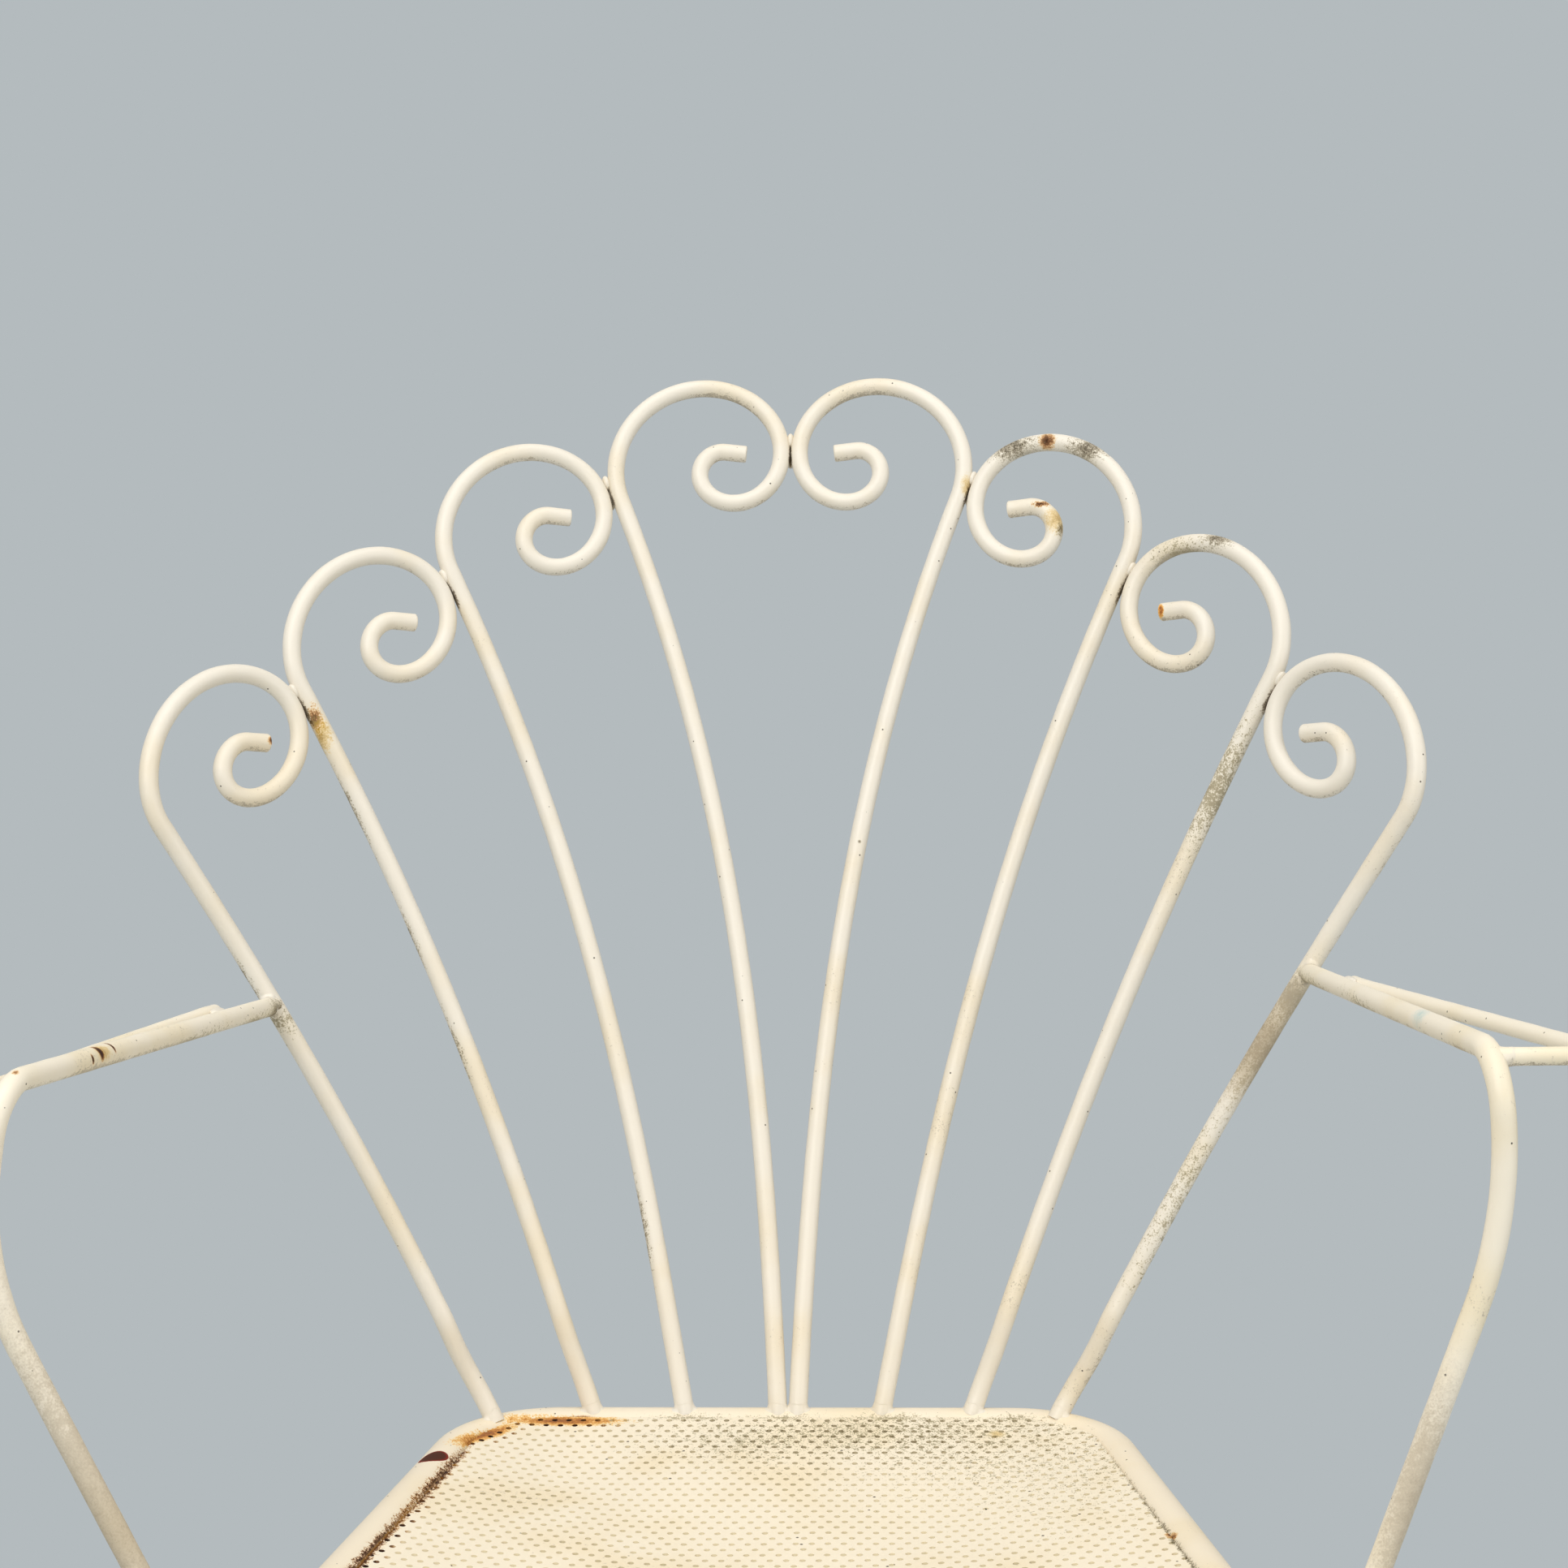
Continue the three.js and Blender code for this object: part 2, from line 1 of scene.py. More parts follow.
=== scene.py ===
"""A fan-backed garden armchair of welded steel rod, tube and perforated sheet under old cream enamel.

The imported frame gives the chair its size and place. Each section below makes one kind of piece, in the
order in which the chair is put together. Lengths are in metres. Shapes are worked out with x to the right
of someone in front of the chair, y towards its back from the rear of the seat rim's centre line, and z up
from the floor.
"""

import math

import bmesh
import bpy
import mathutils
import numpy as np
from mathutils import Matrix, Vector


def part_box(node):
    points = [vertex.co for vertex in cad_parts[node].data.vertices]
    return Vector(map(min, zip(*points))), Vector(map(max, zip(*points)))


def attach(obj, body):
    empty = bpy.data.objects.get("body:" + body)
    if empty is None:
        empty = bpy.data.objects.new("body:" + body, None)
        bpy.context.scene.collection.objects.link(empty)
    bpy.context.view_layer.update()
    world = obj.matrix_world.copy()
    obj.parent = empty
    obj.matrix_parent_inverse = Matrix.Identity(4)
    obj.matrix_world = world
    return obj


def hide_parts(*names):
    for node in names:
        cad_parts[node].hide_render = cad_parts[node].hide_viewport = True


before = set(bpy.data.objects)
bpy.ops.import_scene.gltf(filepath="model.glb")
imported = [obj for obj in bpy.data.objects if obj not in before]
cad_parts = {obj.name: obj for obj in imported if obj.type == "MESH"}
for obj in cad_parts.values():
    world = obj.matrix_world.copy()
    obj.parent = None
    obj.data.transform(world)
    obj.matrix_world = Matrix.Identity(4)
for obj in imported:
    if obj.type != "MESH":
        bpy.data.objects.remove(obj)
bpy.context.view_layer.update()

# Camera: the place from which the chair is seen in the photograph, in front of it and a little above its
# back, found from the rods, scrolls, rim and arm posts together. The lens is given for a 36 mm sensor.
CAMERA_PLACE = (0.048, -1.133, 0.793)
CAMERA_YAW = math.radians(2.3)
CAMERA_PITCH = math.radians(5.0)
CAMERA_ROLL = math.radians(-0.63)
LENS_MM = 63.354

rim_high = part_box("seat_rim")[1]
RIM_RADIUS = 0.009
left_foot_low, right_foot_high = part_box("foot_cap_front_left")[0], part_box("foot_cap_front_right")[1]
REAR = np.array([(left_foot_low.x + right_foot_high.x) / 2, rim_high.y - RIM_RADIUS, 0])

camera = bpy.data.objects.new("camera", bpy.data.cameras.new("camera"))
camera.data.lens = LENS_MM
ahead = np.array([
    -math.sin(CAMERA_YAW) * math.cos(CAMERA_PITCH),
    math.cos(CAMERA_YAW) * math.cos(CAMERA_PITCH),
    -math.sin(CAMERA_PITCH),
])
level = np.array([math.cos(CAMERA_YAW), math.sin(CAMERA_YAW), 0])
over = np.cross(level, ahead)
right = math.cos(CAMERA_ROLL) * level + math.sin(CAMERA_ROLL) * over
up = math.cos(CAMERA_ROLL) * over - math.sin(CAMERA_ROLL) * level
camera_matrix = np.eye(4)
camera_matrix[:3, :] = np.column_stack([right, up, -ahead, np.array(CAMERA_PLACE) + REAR])
camera.matrix_world = mathutils.Matrix(camera_matrix.tolist())
bpy.context.scene.collection.objects.link(camera)
bpy.context.scene.camera = camera

# Seat rim: one fat steel tube bent into a trapezoid with round corners, wider at the front and more so on
# the right, closed by a weld. It carries everything else. Cream enamel, yellowed, chipped and rusty.
RIM_Z = rim_high.z - RIM_RADIUS
REAR_HALF_WIDTH = 0.130
SIDE_TAPER = {-1: 0.14, 1: 0.17}
SEAT_DEPTH = 0.380
REAR_CORNER = 0.042
FRONT_CORNER = 0.060
RIM_STEP = 0.003
RIM_CORNER_STEPS = 24
RIM_SIDES = 40
SHARP_EDGE = math.radians(48)
CREAM = "#E5DED0"
CREAM_YELLOWED = "#E3D7BF"
WARM_CREAM = "#EEE1C9"
WARM_CREAM_YELLOWED = "#EBDBBB"
GRIME = "#C2B7A3"
GRIME_DARK = "#968A76"
GRAINS = "#6F6352"
SPECK = "#4B443A"


def unit(vectors):
    """Each vector divided by its length."""
    return vectors / np.linalg.norm(vectors, axis=-1, keepdims=True)


def rail_x(side, y):
    """Where the rim's side, drawn on straight to its corners, lies at a distance along the seat."""
    return side * (REAR_HALF_WIDTH - SIDE_TAPER[side] * y)


def run(start, end, step, least=1, to_end=False):
    """Points about a step apart along a straight run, without its end unless that is asked for."""
    count = max(least, round(float(np.linalg.norm(end - start)) / step))
    return start + np.linspace(0, 1, count, endpoint=to_end)[:, None] * (end - start)


def rim_outline(step, corner_steps):
    """The rim's centre line from above, and the outward direction at each point: four straight sides,
    with a point at each step, joined by arcs, on which x and y are the centre plus the radius times the
    sine and minus the cosine of the heading."""
    ends = [(1, -SEAT_DEPTH), (1, 0), (-1, 0), (-1, -SEAT_DEPTH)]
    corners = np.array([[rail_x(side, y), y] for side, y in ends])
    radii = [FRONT_CORNER, REAR_CORNER, REAR_CORNER, FRONT_CORNER]
    ways = np.roll(corners, -1, axis=0) - corners
    headings = np.append(0, np.unwrap(np.arctan2(ways[:, 1], ways[:, 0])) % (2 * math.pi))
    headings[4] = 2 * math.pi
    places, outwards = [], []
    last = front_middle = np.array([0, -SEAT_DEPTH])
    for corner, radius, heading, turned in zip(corners, radii, headings[:-1], headings[1:]):
        way = np.array([math.cos(heading), math.sin(heading)])
        start = corner - radius * math.tan((turned - heading) / 2) * way
        places.append(run(last, start, step))
        outwards.append(np.tile([way[1], -way[0]], (len(places[-1]), 1)))
        centre = start + radius * np.array([-way[1], way[0]])
        arc = np.linspace(heading, turned, corner_steps + 1)
        arc_out = np.column_stack([np.sin(arc), -np.cos(arc)])
        places.append(centre + radius * arc_out[:-1])
        outwards.append(arc_out[:-1])
        last = centre + radius * arc_out[-1]
    places.append(run(last, front_middle, step))
    outwards.append(np.tile([0.0, -1.0], (len(places[-1]), 1)))
    return np.vstack(places), np.vstack(outwards)


def grid_faces(rows, columns, rows_close=False):
    """Four-sided faces of a grid of points, row after row, whose columns run round."""
    row, column = np.meshgrid(np.arange(rows if rows_close else rows - 1), np.arange(columns), indexing="ij")
    next_row, next_column = (row + 1) % rows, (column + 1) % columns
    corners = [(row, column), (next_row, column), (next_row, next_column), (row, next_column)]
    return np.stack([r * columns + c for r, c in corners], axis=-1).reshape(-1, 4)


def round_angles(sides):
    """Angles evenly spaced round a circle, one below the other."""
    return np.linspace(0, 2 * math.pi, sides, endpoint=False)[:, None]


def bar(line, radii, sides, reference, closed=False):
    """A round bar: at each point of the line a ring, point plus radius times the cosine of an angle
    sideways and its sine upwards, where sideways is square to the line and to the reference. An open
    bar's ends are closed on their middle points."""
    tangents = np.roll(line, -1, 0) - np.roll(line, 1, 0) if closed else np.gradient(line, axis=0)
    sideways = unit(np.cross(tangents, reference))
    upwards = unit(np.cross(sideways, tangents))
    angle = round_angles(sides)
    rings = np.cos(angle) * sideways[:, None] + np.sin(angle) * upwards[:, None]
    points = (line[:, None] + np.reshape(radii, (-1, 1, 1)) * rings).reshape(-1, 3)
    faces = [grid_faces(len(line), sides, closed)]
    if not closed:
        ring = np.arange(sides)
        last = (len(line) - 1) * sides
        first_middle = np.full(sides, len(points))
        faces.append(np.stack([ring, np.roll(ring, -1), first_middle], axis=-1))
        faces.append(np.stack([last + np.roll(ring, -1), last + ring, first_middle + 1], axis=-1))
        points = np.vstack([points, line[0], line[-1]])
    return points, faces


def mesh_piece(name, points, faces, *materials):
    """A mesh object at the origin from points in the rim's frame, its faces turned outwards, smooth but
    for its sharp edges."""
    mesh = bpy.data.meshes.new(name)
    mesh.from_pydata((points + REAR).tolist(), [], [face for block in faces for face in block.tolist()])
    shell = bmesh.new()
    shell.from_mesh(mesh)
    bmesh.ops.recalc_face_normals(shell, faces=shell.faces)
    shell.to_mesh(mesh)
    shell.free()
    mesh.shade_smooth()
    mesh.set_sharp_from_angle(angle=SHARP_EDGE)
    for material in materials:
        mesh.materials.append(material)
    piece = bpy.data.objects.new(name, mesh)
    bpy.context.scene.collection.objects.link(piece)
    return piece


def linear(code):
    """An sRGB hex colour as linear red, green, blue and alpha."""
    share = np.array([int(code[i:i + 2], 16) for i in (1, 3, 5)]) / 255
    return [*np.where(share < 0.04045, share / 12.92, ((share + 0.055) / 1.055) ** 2.4), 1.0]


def cleared_tree(owner):
    """The node tree of a material or of the world, without the nodes that it starts with."""
    owner.use_nodes = True
    owner.node_tree.nodes.clear()
    return owner.node_tree


def add(tree, kind, inputs=(), **settings):
    """Adds a shader node with its settings and, by input name or number, its values and the outputs it
    reads."""
    made = tree.nodes.new("ShaderNode" + kind)
    for key, value in settings.items():
        setattr(made, key, value)
    for key, value in dict(inputs).items():
        if isinstance(value, bpy.types.NodeSocket):
            tree.links.new(value, made.inputs[key])
        else:
            made.inputs[key].default_value = value
    return made


def per_metre(width_mm):
    """A pattern's scale on Object coordinates: how often its width goes into a metre."""
    return 1000 / width_mm


# What mottles the paint: clouds of yellowing, grains of grime, and specks this far apart. Real dust is too
# fine for the render, so it is drawn as wide as a pixel or two.
CLOUD_MM = 45
GRAIN_MM = 2.4
DUST_MM = 0.7
SPECK_GAP_MM = 7
# The values between which each pattern comes up, and how far it covers what lies under it.
YELLOWING = {"From Min": 0.42, "From Max": 0.72}
FACING_DOWN = {"From Min": -0.15, "From Max": -0.8}
GRIME_FILM = {"From Min": 1.58, "From Max": 1.80, "To Max": 0.8}
GRIME_GRAINS = {"From Min": 0.78, "From Max": 0.86, "To Max": 0.7}
SPECK_EDGE = {"From Min": 0.065, "From Max": 0.04}
SMOOTH = {"interpolation_type": "SMOOTHSTEP"}
# How much more grime film and grains what faces down gets: painted shade on the undersides.
UNDERSIDE_SHADE = 0.28
CLOUDS_IN_FILM = 0.9
GRIME_IN_GRAINS = 0.5
DUST_IN_FINE = 0.8
FINE_MIDDLE = 0.9
# The paint shines a little, while rust, soot and grime, which are darker, are dull.
GLOSS = {"From Min": 0.25, "From Max": 0.70, "To Min": 1.0, "To Max": 0.42}
ORANGE_PEEL = {"Strength": 0.3, "Distance": 0.0002}
FILM_IN_PEEL = 0.5

# Colours of a stain from its middle outwards, each with how far out it lies and how much it covers.
RUST = [(0.0, "#3C2006", 1.0), (0.4, "#6E3F0C", 0.95), (0.65, "#B4781E", 0.8), (0.85, "#DBAC50", 0.45),
        (1.0, "#E6C88A", 0.0)]
BLEED = [(0.0, "#7C4002", 0.95), (0.35, "#AE6604", 0.95), (0.65, "#DC981A", 0.85), (0.85, "#ECBE50", 0.6),
         (1.0, "#F3DCA6", 0.0)]
CUT_EDGE = [(0.0, "#261002", 1.0), (0.45, "#442205", 1.0), (0.7, "#8C5410", 0.85), (0.85, "#CE9840", 0.4),
            (1.0, "#E4C48C", 0.0)]
YELLOW = [(0.0, "#A98424", 0.8), (0.5, "#D3AF52", 0.6), (1.0, "#E8D29A", 0.0)]
CHIP = [(0.0, "#431B04", 1.0), (0.74, "#4A1E06", 1.0), (0.8, "#6E1804", 1.0), (0.92, "#842408", 1.0),
        (0.96, "#E9CDB8", 0.5), (1.0, "#EFE6D6", 0.0)]
BLUE = [(0.0, "#A9C7C6", 0.7), (0.6, "#C4D5D0", 0.4), (1.0, "#E0E2DA", 0.0)]
SOOT = [(0.0, "#463A20", 0.9), (0.5, "#7B6D4C", 0.65), (1.0, "#B5A984", 0.0)]
MOTTLE = [(0.0, "#8E8262", 0.8), (0.2, "#A59A78", 0.65), (0.45, "#CDC2A4", 0.0)]
# A soft darkening: partly dirt, partly painted shade on the lower and inner sides of the posts and under the
# arms.
SHADE_AND_SMUDGE = [(0.0, "#A69780", 0.85), (0.5, "#B6A890", 0.65), (1.0, "#D8CFC0", 0.0)]
# Colours of the groove where rods touch: painted shade of the narrow gap, with some dirt.
GROOVE_SHADE_AND_DIRT = [(0.0, "#3A2A14", 0.95), (0.6, "#5C4826", 0.8), (1.0, "#A89878", 0.0)]
STREAK = [(0.0, "#6A5C3C", 0.9), (0.4, "#93866A", 0.7), (0.8, "#CDC2A4", 0.0)]


def enamel(name, cream, yellowed, grime, stains=(), speck_gap=SPECK_GAP_MM):
    """Alkyd enamel brushed on steel: cream that yellows a little in clouds, thin orange peel, a film of
    grey-beige grime in fine grains, thickest on what faces down, where the extra grime is painted shade,
    dark specks, and stains. A stain is where it is, its half sizes, its turn about z or all three of its
    turns, how ragged it is, and its colours."""
    material = bpy.data.materials.new(name)
    tree = cleared_tree(material)
    place = add(tree, "TexCoord")
    where = place.outputs["Object"]
    facing = add(tree, "SeparateXYZ", {0: place.outputs["Normal"]}).outputs["Z"]
    cloud_values = {"Vector": where, "Scale": per_metre(CLOUD_MM), "Detail": 3.0}
    clouds = add(tree, "TexNoise", cloud_values).outputs["Fac"]
    grain_values = {"Vector": where, "Scale": per_metre(GRAIN_MM), "Detail": 6.0, "Roughness": 0.7}
    grain = add(tree, "TexNoise", grain_values).outputs["Fac"]
    dust_values = {"Vector": where, "Scale": per_metre(DUST_MM), "Detail": 2.0}
    dust = add(tree, "TexNoise", dust_values).outputs["Fac"]

    cloudy = add(tree, "MapRange", {"Value": clouds, **YELLOWING}, **SMOOTH).outputs["Result"]
    tones = {0: cloudy, 6: linear(cream), 7: linear(yellowed)}
    colour = add(tree, "Mix", tones, data_type="RGBA").outputs[2]

    # Painted shade: what faces down gets a thicker film and more grains of grime, so it darkens as if in
    # shade.
    under = add(tree, "MapRange", {"Value": facing, **FACING_DOWN}, **SMOOTH).outputs["Result"]
    grime_and_under_shade = add(tree, "Math", {0: under, 1: UNDERSIDE_SHADE, 2: grime}, operation="MULTIPLY_ADD").outputs[0]
    drifts_and_under_shade = add(tree, "Math", {0: clouds, 1: CLOUDS_IN_FILM, 2: grime_and_under_shade}, operation="MULTIPLY_ADD").outputs[0]
    fine = add(tree, "Math", {0: dust, 1: DUST_IN_FINE, 2: grain}, operation="MULTIPLY_ADD").outputs[0]
    dusty = add(tree, "Math", {0: drifts_and_under_shade, 1: fine}, operation="ADD").outputs[0]
    film = add(tree, "MapRange", {"Value": dusty, **GRIME_FILM}, **SMOOTH).outputs["Result"]
    film_tones = {0: dust, 6: linear(GRIME_DARK), 7: linear(GRIME)}
    film_tone = add(tree, "Mix", film_tones, data_type="RGBA").outputs[2]

    grains = add(tree, "Math", {0: grime_and_under_shade, 1: GRIME_IN_GRAINS, 2: dust}, operation="MULTIPLY_ADD").outputs[0]
    grainy_and_under_shade = add(tree, "MapRange", {"Value": grains, **GRIME_GRAINS}).outputs["Result"]
    cells = add(tree, "TexVoronoi", {"Vector": where, "Scale": per_metre(speck_gap)})
    specks = add(tree, "MapRange", {"Value": cells.outputs["Distance"], **SPECK_EDGE}).outputs["Result"]
    for cover, tone in ((film, film_tone), (grainy_and_under_shade, linear(GRAINS)), (specks, linear(SPECK))):
        colour = add(tree, "Mix", {0: cover, 6: colour, 7: tone}, data_type="RGBA").outputs[2]

    ragged = add(tree, "Math", {0: fine, 1: FINE_MIDDLE}, operation="SUBTRACT").outputs[0]
    for spot, sizes, turn, raggedness, shades in stains:
        middle = np.array(spot) + REAR
        turns = turn if np.ndim(turn) else (0, 0, turn)
        around = {"Vector": where, "Location": middle, "Rotation": turns, "Scale": sizes}
        inside = add(tree, "Mapping", around, vector_type="TEXTURE").outputs["Vector"]
        out = add(tree, "VectorMath", {0: inside}, operation="LENGTH").outputs["Value"]
        uneven = {0: ragged, 1: raggedness, 2: out}
        reach = add(tree, "Math", uneven, operation="MULTIPLY_ADD").outputs[0]
        ramp = add(tree, "ValToRGB", {0: reach})
        for k, (stop, shade, cover) in enumerate(shades):
            point = ramp.color_ramp.elements[k] if k < 2 else ramp.color_ramp.elements.new(stop)
            point.position = stop
            point.color = [*linear(shade)[:3], cover]
        stained = {0: ramp.outputs["Alpha"], 6: colour, 7: ramp.outputs["Color"]}
        colour = add(tree, "Mix", stained, data_type="RGBA").outputs[2]

    lightness = add(tree, "RGBToBW", {0: colour}).outputs[0]
    rough = add(tree, "MapRange", {"Value": lightness, **GLOSS}).outputs["Result"]
    relief = add(tree, "Math", {0: film, 1: FILM_IN_PEEL, 2: grain}, operation="MULTIPLY_ADD").outputs[0]
    bumped = add(tree, "Bump", {"Height": relief, **ORANGE_PEEL})
    shader_values = {"Base Color": colour, "Roughness": rough, "Normal": bumped.outputs["Normal"]}
    shader = add(tree, "BsdfPrincipled", shader_values)
    add(tree, "OutputMaterial", {"Surface": shader.outputs[0]})
    return material


rim_plan, rim_out = rim_outline(RIM_STEP, RIM_CORNER_STEPS)
rim_line = np.column_stack([rim_plan, np.full(len(rim_plan), RIM_Z)])
rim_points, rim_faces = bar(rim_line, np.full(len(rim_line), RIM_RADIUS), RIM_SIDES, (0, 0, 1), closed=True)
LEFT_EDGE_TURN = -math.atan(SIDE_TAPER[-1])
RIGHT_EDGE_TURN = math.atan(SIDE_TAPER[1])
MOTTLED_REAR = [(-0.0390, 0.0300), (0.0000, 0.0300), (0.0450, 0.0340), (0.0950, 0.0240)]
edge_stains = [
    ((-0.1490, -0.190, 0.4278), (0.0032, 0.150, 0.0034), LEFT_EDGE_TURN, 2.0, CUT_EDGE),
    ((-0.1335, -0.085, 0.4278), (0.0034, 0.055, 0.0036), LEFT_EDGE_TURN, 2.0, CUT_EDGE),
    ((-0.1230, -0.030, 0.4278), (0.0210, 0.0058, 0.0060), math.radians(51), 1.2, BLEED),
    ((-0.0930, -0.0110, 0.4276), (0.0300, 0.0060, 0.0060), 0.0, 1.2, BLEED),
    ((0.1484, -0.150, 0.4283), (0.0015, 0.120, 0.0020), RIGHT_EDGE_TURN, 3.0, SOOT),
    ((0.1475, -0.143, 0.4285), (0.0026, 0.0036, 0.0030), 0.0, 0.8, RUST),
    *(((x, -0.0075, 0.4285), (half, 0.0070, 0.0050), 0.0, 2.0, MOTTLE) for x, half in MOTTLED_REAR),
]
rim_stains = edge_stains + [
    ((-0.1386, -0.0618, 0.4299), (0.0050, 0.0079, 0.007), math.radians(-36), 0.10, CHIP),
    ((-0.0855, -0.0075, 0.4278), (0.0095, 0.0030, 0.003), 0.0, 0.5, CUT_EDGE),
    ((-0.1480, -0.190, 0.4255), (0.0040, 0.150, 0.0022), LEFT_EDGE_TURN, 0.6, CUT_EDGE),
]
rim_paint = enamel("brushed_enamel_rim", WARM_CREAM, WARM_CREAM_YELLOWED, grime=0.0, stains=rim_stains)
rim = mesh_piece("rim_tube", rim_points, rim_faces, rim_paint)
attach(rim, "root")
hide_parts("seat_rim")

# Seat sheet: thin steel punched in staggered rows, cut to shape straight through its holes, dished a
# little and welded inside the rim. The same enamel, thicker and warmer, with rust along the raw cut edge.
HOLE_PITCH = 0.006
HOLE_RADIUS = 0.00125
HOLE_SIDES = 8
SHEET_THICKNESS = 0.0012
SHEET_SEAT_ANGLE = math.radians(44)
SHEET_DISH = 0.010
SHEET_REACH = RIM_RADIUS + 0.0009
LEFT_GAP = 0.0020
SHEET_RIPPLE = 0.0003
RIPPLE_TURNS = (61, 47)
CUT_WAVE = 0.0003
CUT_WAVE_TURNS = (900, 1300)
SAME_POINT = 1e-6
SLIVER = 2e-9
SHEET_SPECK_GAP_MM = 11
SHEET_CREAM = "#F2E6CE"
SHEET_CREAM_YELLOWED = "#EFDFBF"
HOLE_CREAM = "#EEDFBD"
HOLE_DIRT = "#D3C39D"
HOLE_DARK = [(0.0, "#7A6845", 0.6), (0.6, "#8E7C58", 0.45), (1.0, "#B5A27C", 0.0)]


def outside_by(points, outline, outwards):
    """How far each point lies outside a convex outline, the largest of its distances past the sides."""
    return ((points[:, None] - outline[None]) * outwards[None]).sum(-1).max(1)


def nearest_on(line, points, closed=False):
    """The point of a line of straight stretches that is nearest to each given point."""
    starts = line if closed else line[:-1]
    ways = (np.roll(line, -1, 0) - line) if closed else np.diff(line, axis=0)
    along = ((points[:, None] - starts) * ways).sum(-1) / (ways ** 2).sum(-1)
    feet = starts + np.clip(along, 0, 1)[..., None] * ways
    nearest = ((points[:, None] - feet) ** 2).sum(-1).argmin(1)
    return feet[np.arange(len(points)), nearest]


def punched_plan(outline, outwards):
    """A flat lattice of six-sided cells with a round hole in each, clipped to the outline: a cell's
    corners and its hole's points that fall outside move to the nearest place on the outline, so that
    the cut runs through the holes. Gives points, three-sided faces, and which points lie on the cut."""
    row_gap = HOLE_PITCH * math.sqrt(3) / 2
    low, high = outline.min(0) - HOLE_PITCH, outline.max(0) + HOLE_PITCH
    row, column = np.meshgrid(
        np.arange(math.floor(low[1] / row_gap), math.ceil(high[1] / row_gap) + 1),
        np.arange(math.floor(low[0] / HOLE_PITCH), math.ceil(high[0] / HOLE_PITCH) + 1),
    )
    centres = np.column_stack([((column + row % 2 / 2) * HOLE_PITCH).ravel(), (row * row_gap).ravel()])
    centres = centres[outside_by(centres, outline, outwards) < HOLE_PITCH / math.sqrt(3)]

    corner_angle = math.pi / 6 + np.arange(6) * math.pi / 3
    hole_angle = (np.arange(HOLE_SIDES) + 0.5) * 2 * math.pi / HOLE_SIDES
    corner_ring = HOLE_PITCH / math.sqrt(3) * np.column_stack([np.cos(corner_angle), np.sin(corner_angle)])
    hole_ring = HOLE_RADIUS * np.column_stack([np.cos(hole_angle), np.sin(hole_angle)])
    cell = np.vstack([corner_ring, hole_ring])

    # One cell's faces: going round, each step moves on to the next corner or the next point of the hole.
    template, c, h = [], 0, 0
    while c < 6 or h < HOLE_SIDES:
        next_corner = corner_angle[0] + (c + 1) * math.pi / 3
        next_hole = hole_angle[0] + (h + 1) * 2 * math.pi / HOLE_SIDES
        if h >= HOLE_SIDES or (c < 6 and next_corner < next_hole):
            template.append((c % 6, (c + 1) % 6, 6 + h % HOLE_SIDES))
            c += 1
        else:
            template.append((c % 6, 6 + (h + 1) % HOLE_SIDES, 6 + h % HOLE_SIDES))
            h += 1
    template = np.array(template)

    points = (centres[:, None] + cell[None]).reshape(-1, 2)
    faces = (np.arange(len(centres))[:, None, None] * len(cell) + template[None]).reshape(-1, 3)
    keys, index = np.unique(np.round(points / SAME_POINT).astype(np.int64), axis=0, return_inverse=True)
    faces = index.reshape(-1)[faces]
    points = keys * SAME_POINT
    out = outside_by(points, outline, outwards) > 0
    points[out] = nearest_on(outline, points[out], closed=True)
    a, b, c = (points[faces[:, k]] for k in range(3))
    area = np.abs((b[:, 0] - a[:, 0]) * (c[:, 1] - a[:, 1]) - (b[:, 1] - a[:, 1]) * (c[:, 0] - a[:, 0])) / 2
    faces = faces[(area > SLIVER) & ~out[faces].all(1)]
    used, index = np.unique(faces, return_inverse=True)
    return points[used], index.reshape(-1, 3), out[used]


def dished(plan, outline):
    """Height of the sheet's middle: its edge's height less the dish times one minus the square of how
    far out the point is, as a share of the way from the middle of the seat to the outline, plus the
    ripple of hammered sheet, a sine of x times a sine of y that fades out at the edge."""
    middle = np.array([0, -SEAT_DEPTH / 2])
    ring, spot = outline - middle, plan - middle
    ring_angle = np.arctan2(ring[:, 1], ring[:, 0])
    order = np.argsort(ring_angle)
    ring_reach = np.linalg.norm(ring, axis=1)[order]
    angle = np.arctan2(spot[:, 1], spot[:, 0])
    reach = np.interp(angle, ring_angle[order], ring_reach, period=2 * math.pi)
    share = np.linalg.norm(spot, axis=1) / reach
    ripple = SHEET_RIPPLE * np.sin(plan[:, 0] * RIPPLE_TURNS[0]) * np.sin(plan[:, 1] * RIPPLE_TURNS[1] + 1)
    edge = RIM_Z + SHEET_REACH * math.sin(SHEET_SEAT_ANGLE)
    return edge - SHEET_DISH * (1 - share ** 2) + ripple * (1 - share ** 4)


def plate(plan, heights, faces, thickness):
    """A plate from a flat mesh: its points above and below the given heights by half its thickness, and
    a wall on each edge that only one face uses."""
    top = np.column_stack([plan, heights + thickness / 2])
    bottom = np.column_stack([plan, heights - thickness / 2])
    edges = np.vstack([faces[:, [0, 1]], faces[:, [1, 2]], faces[:, [2, 0]]])
    keys = np.sort(edges, axis=1)
    _, first, uses = np.unique(keys, axis=0, return_index=True, return_counts=True)
    a, b = edges[first[uses == 1]].T
    count = len(plan)
    walls = np.stack([b, a, a + count, b + count], axis=-1)
    return np.vstack([top, bottom]), [faces, faces[:, ::-1] + count, walls]


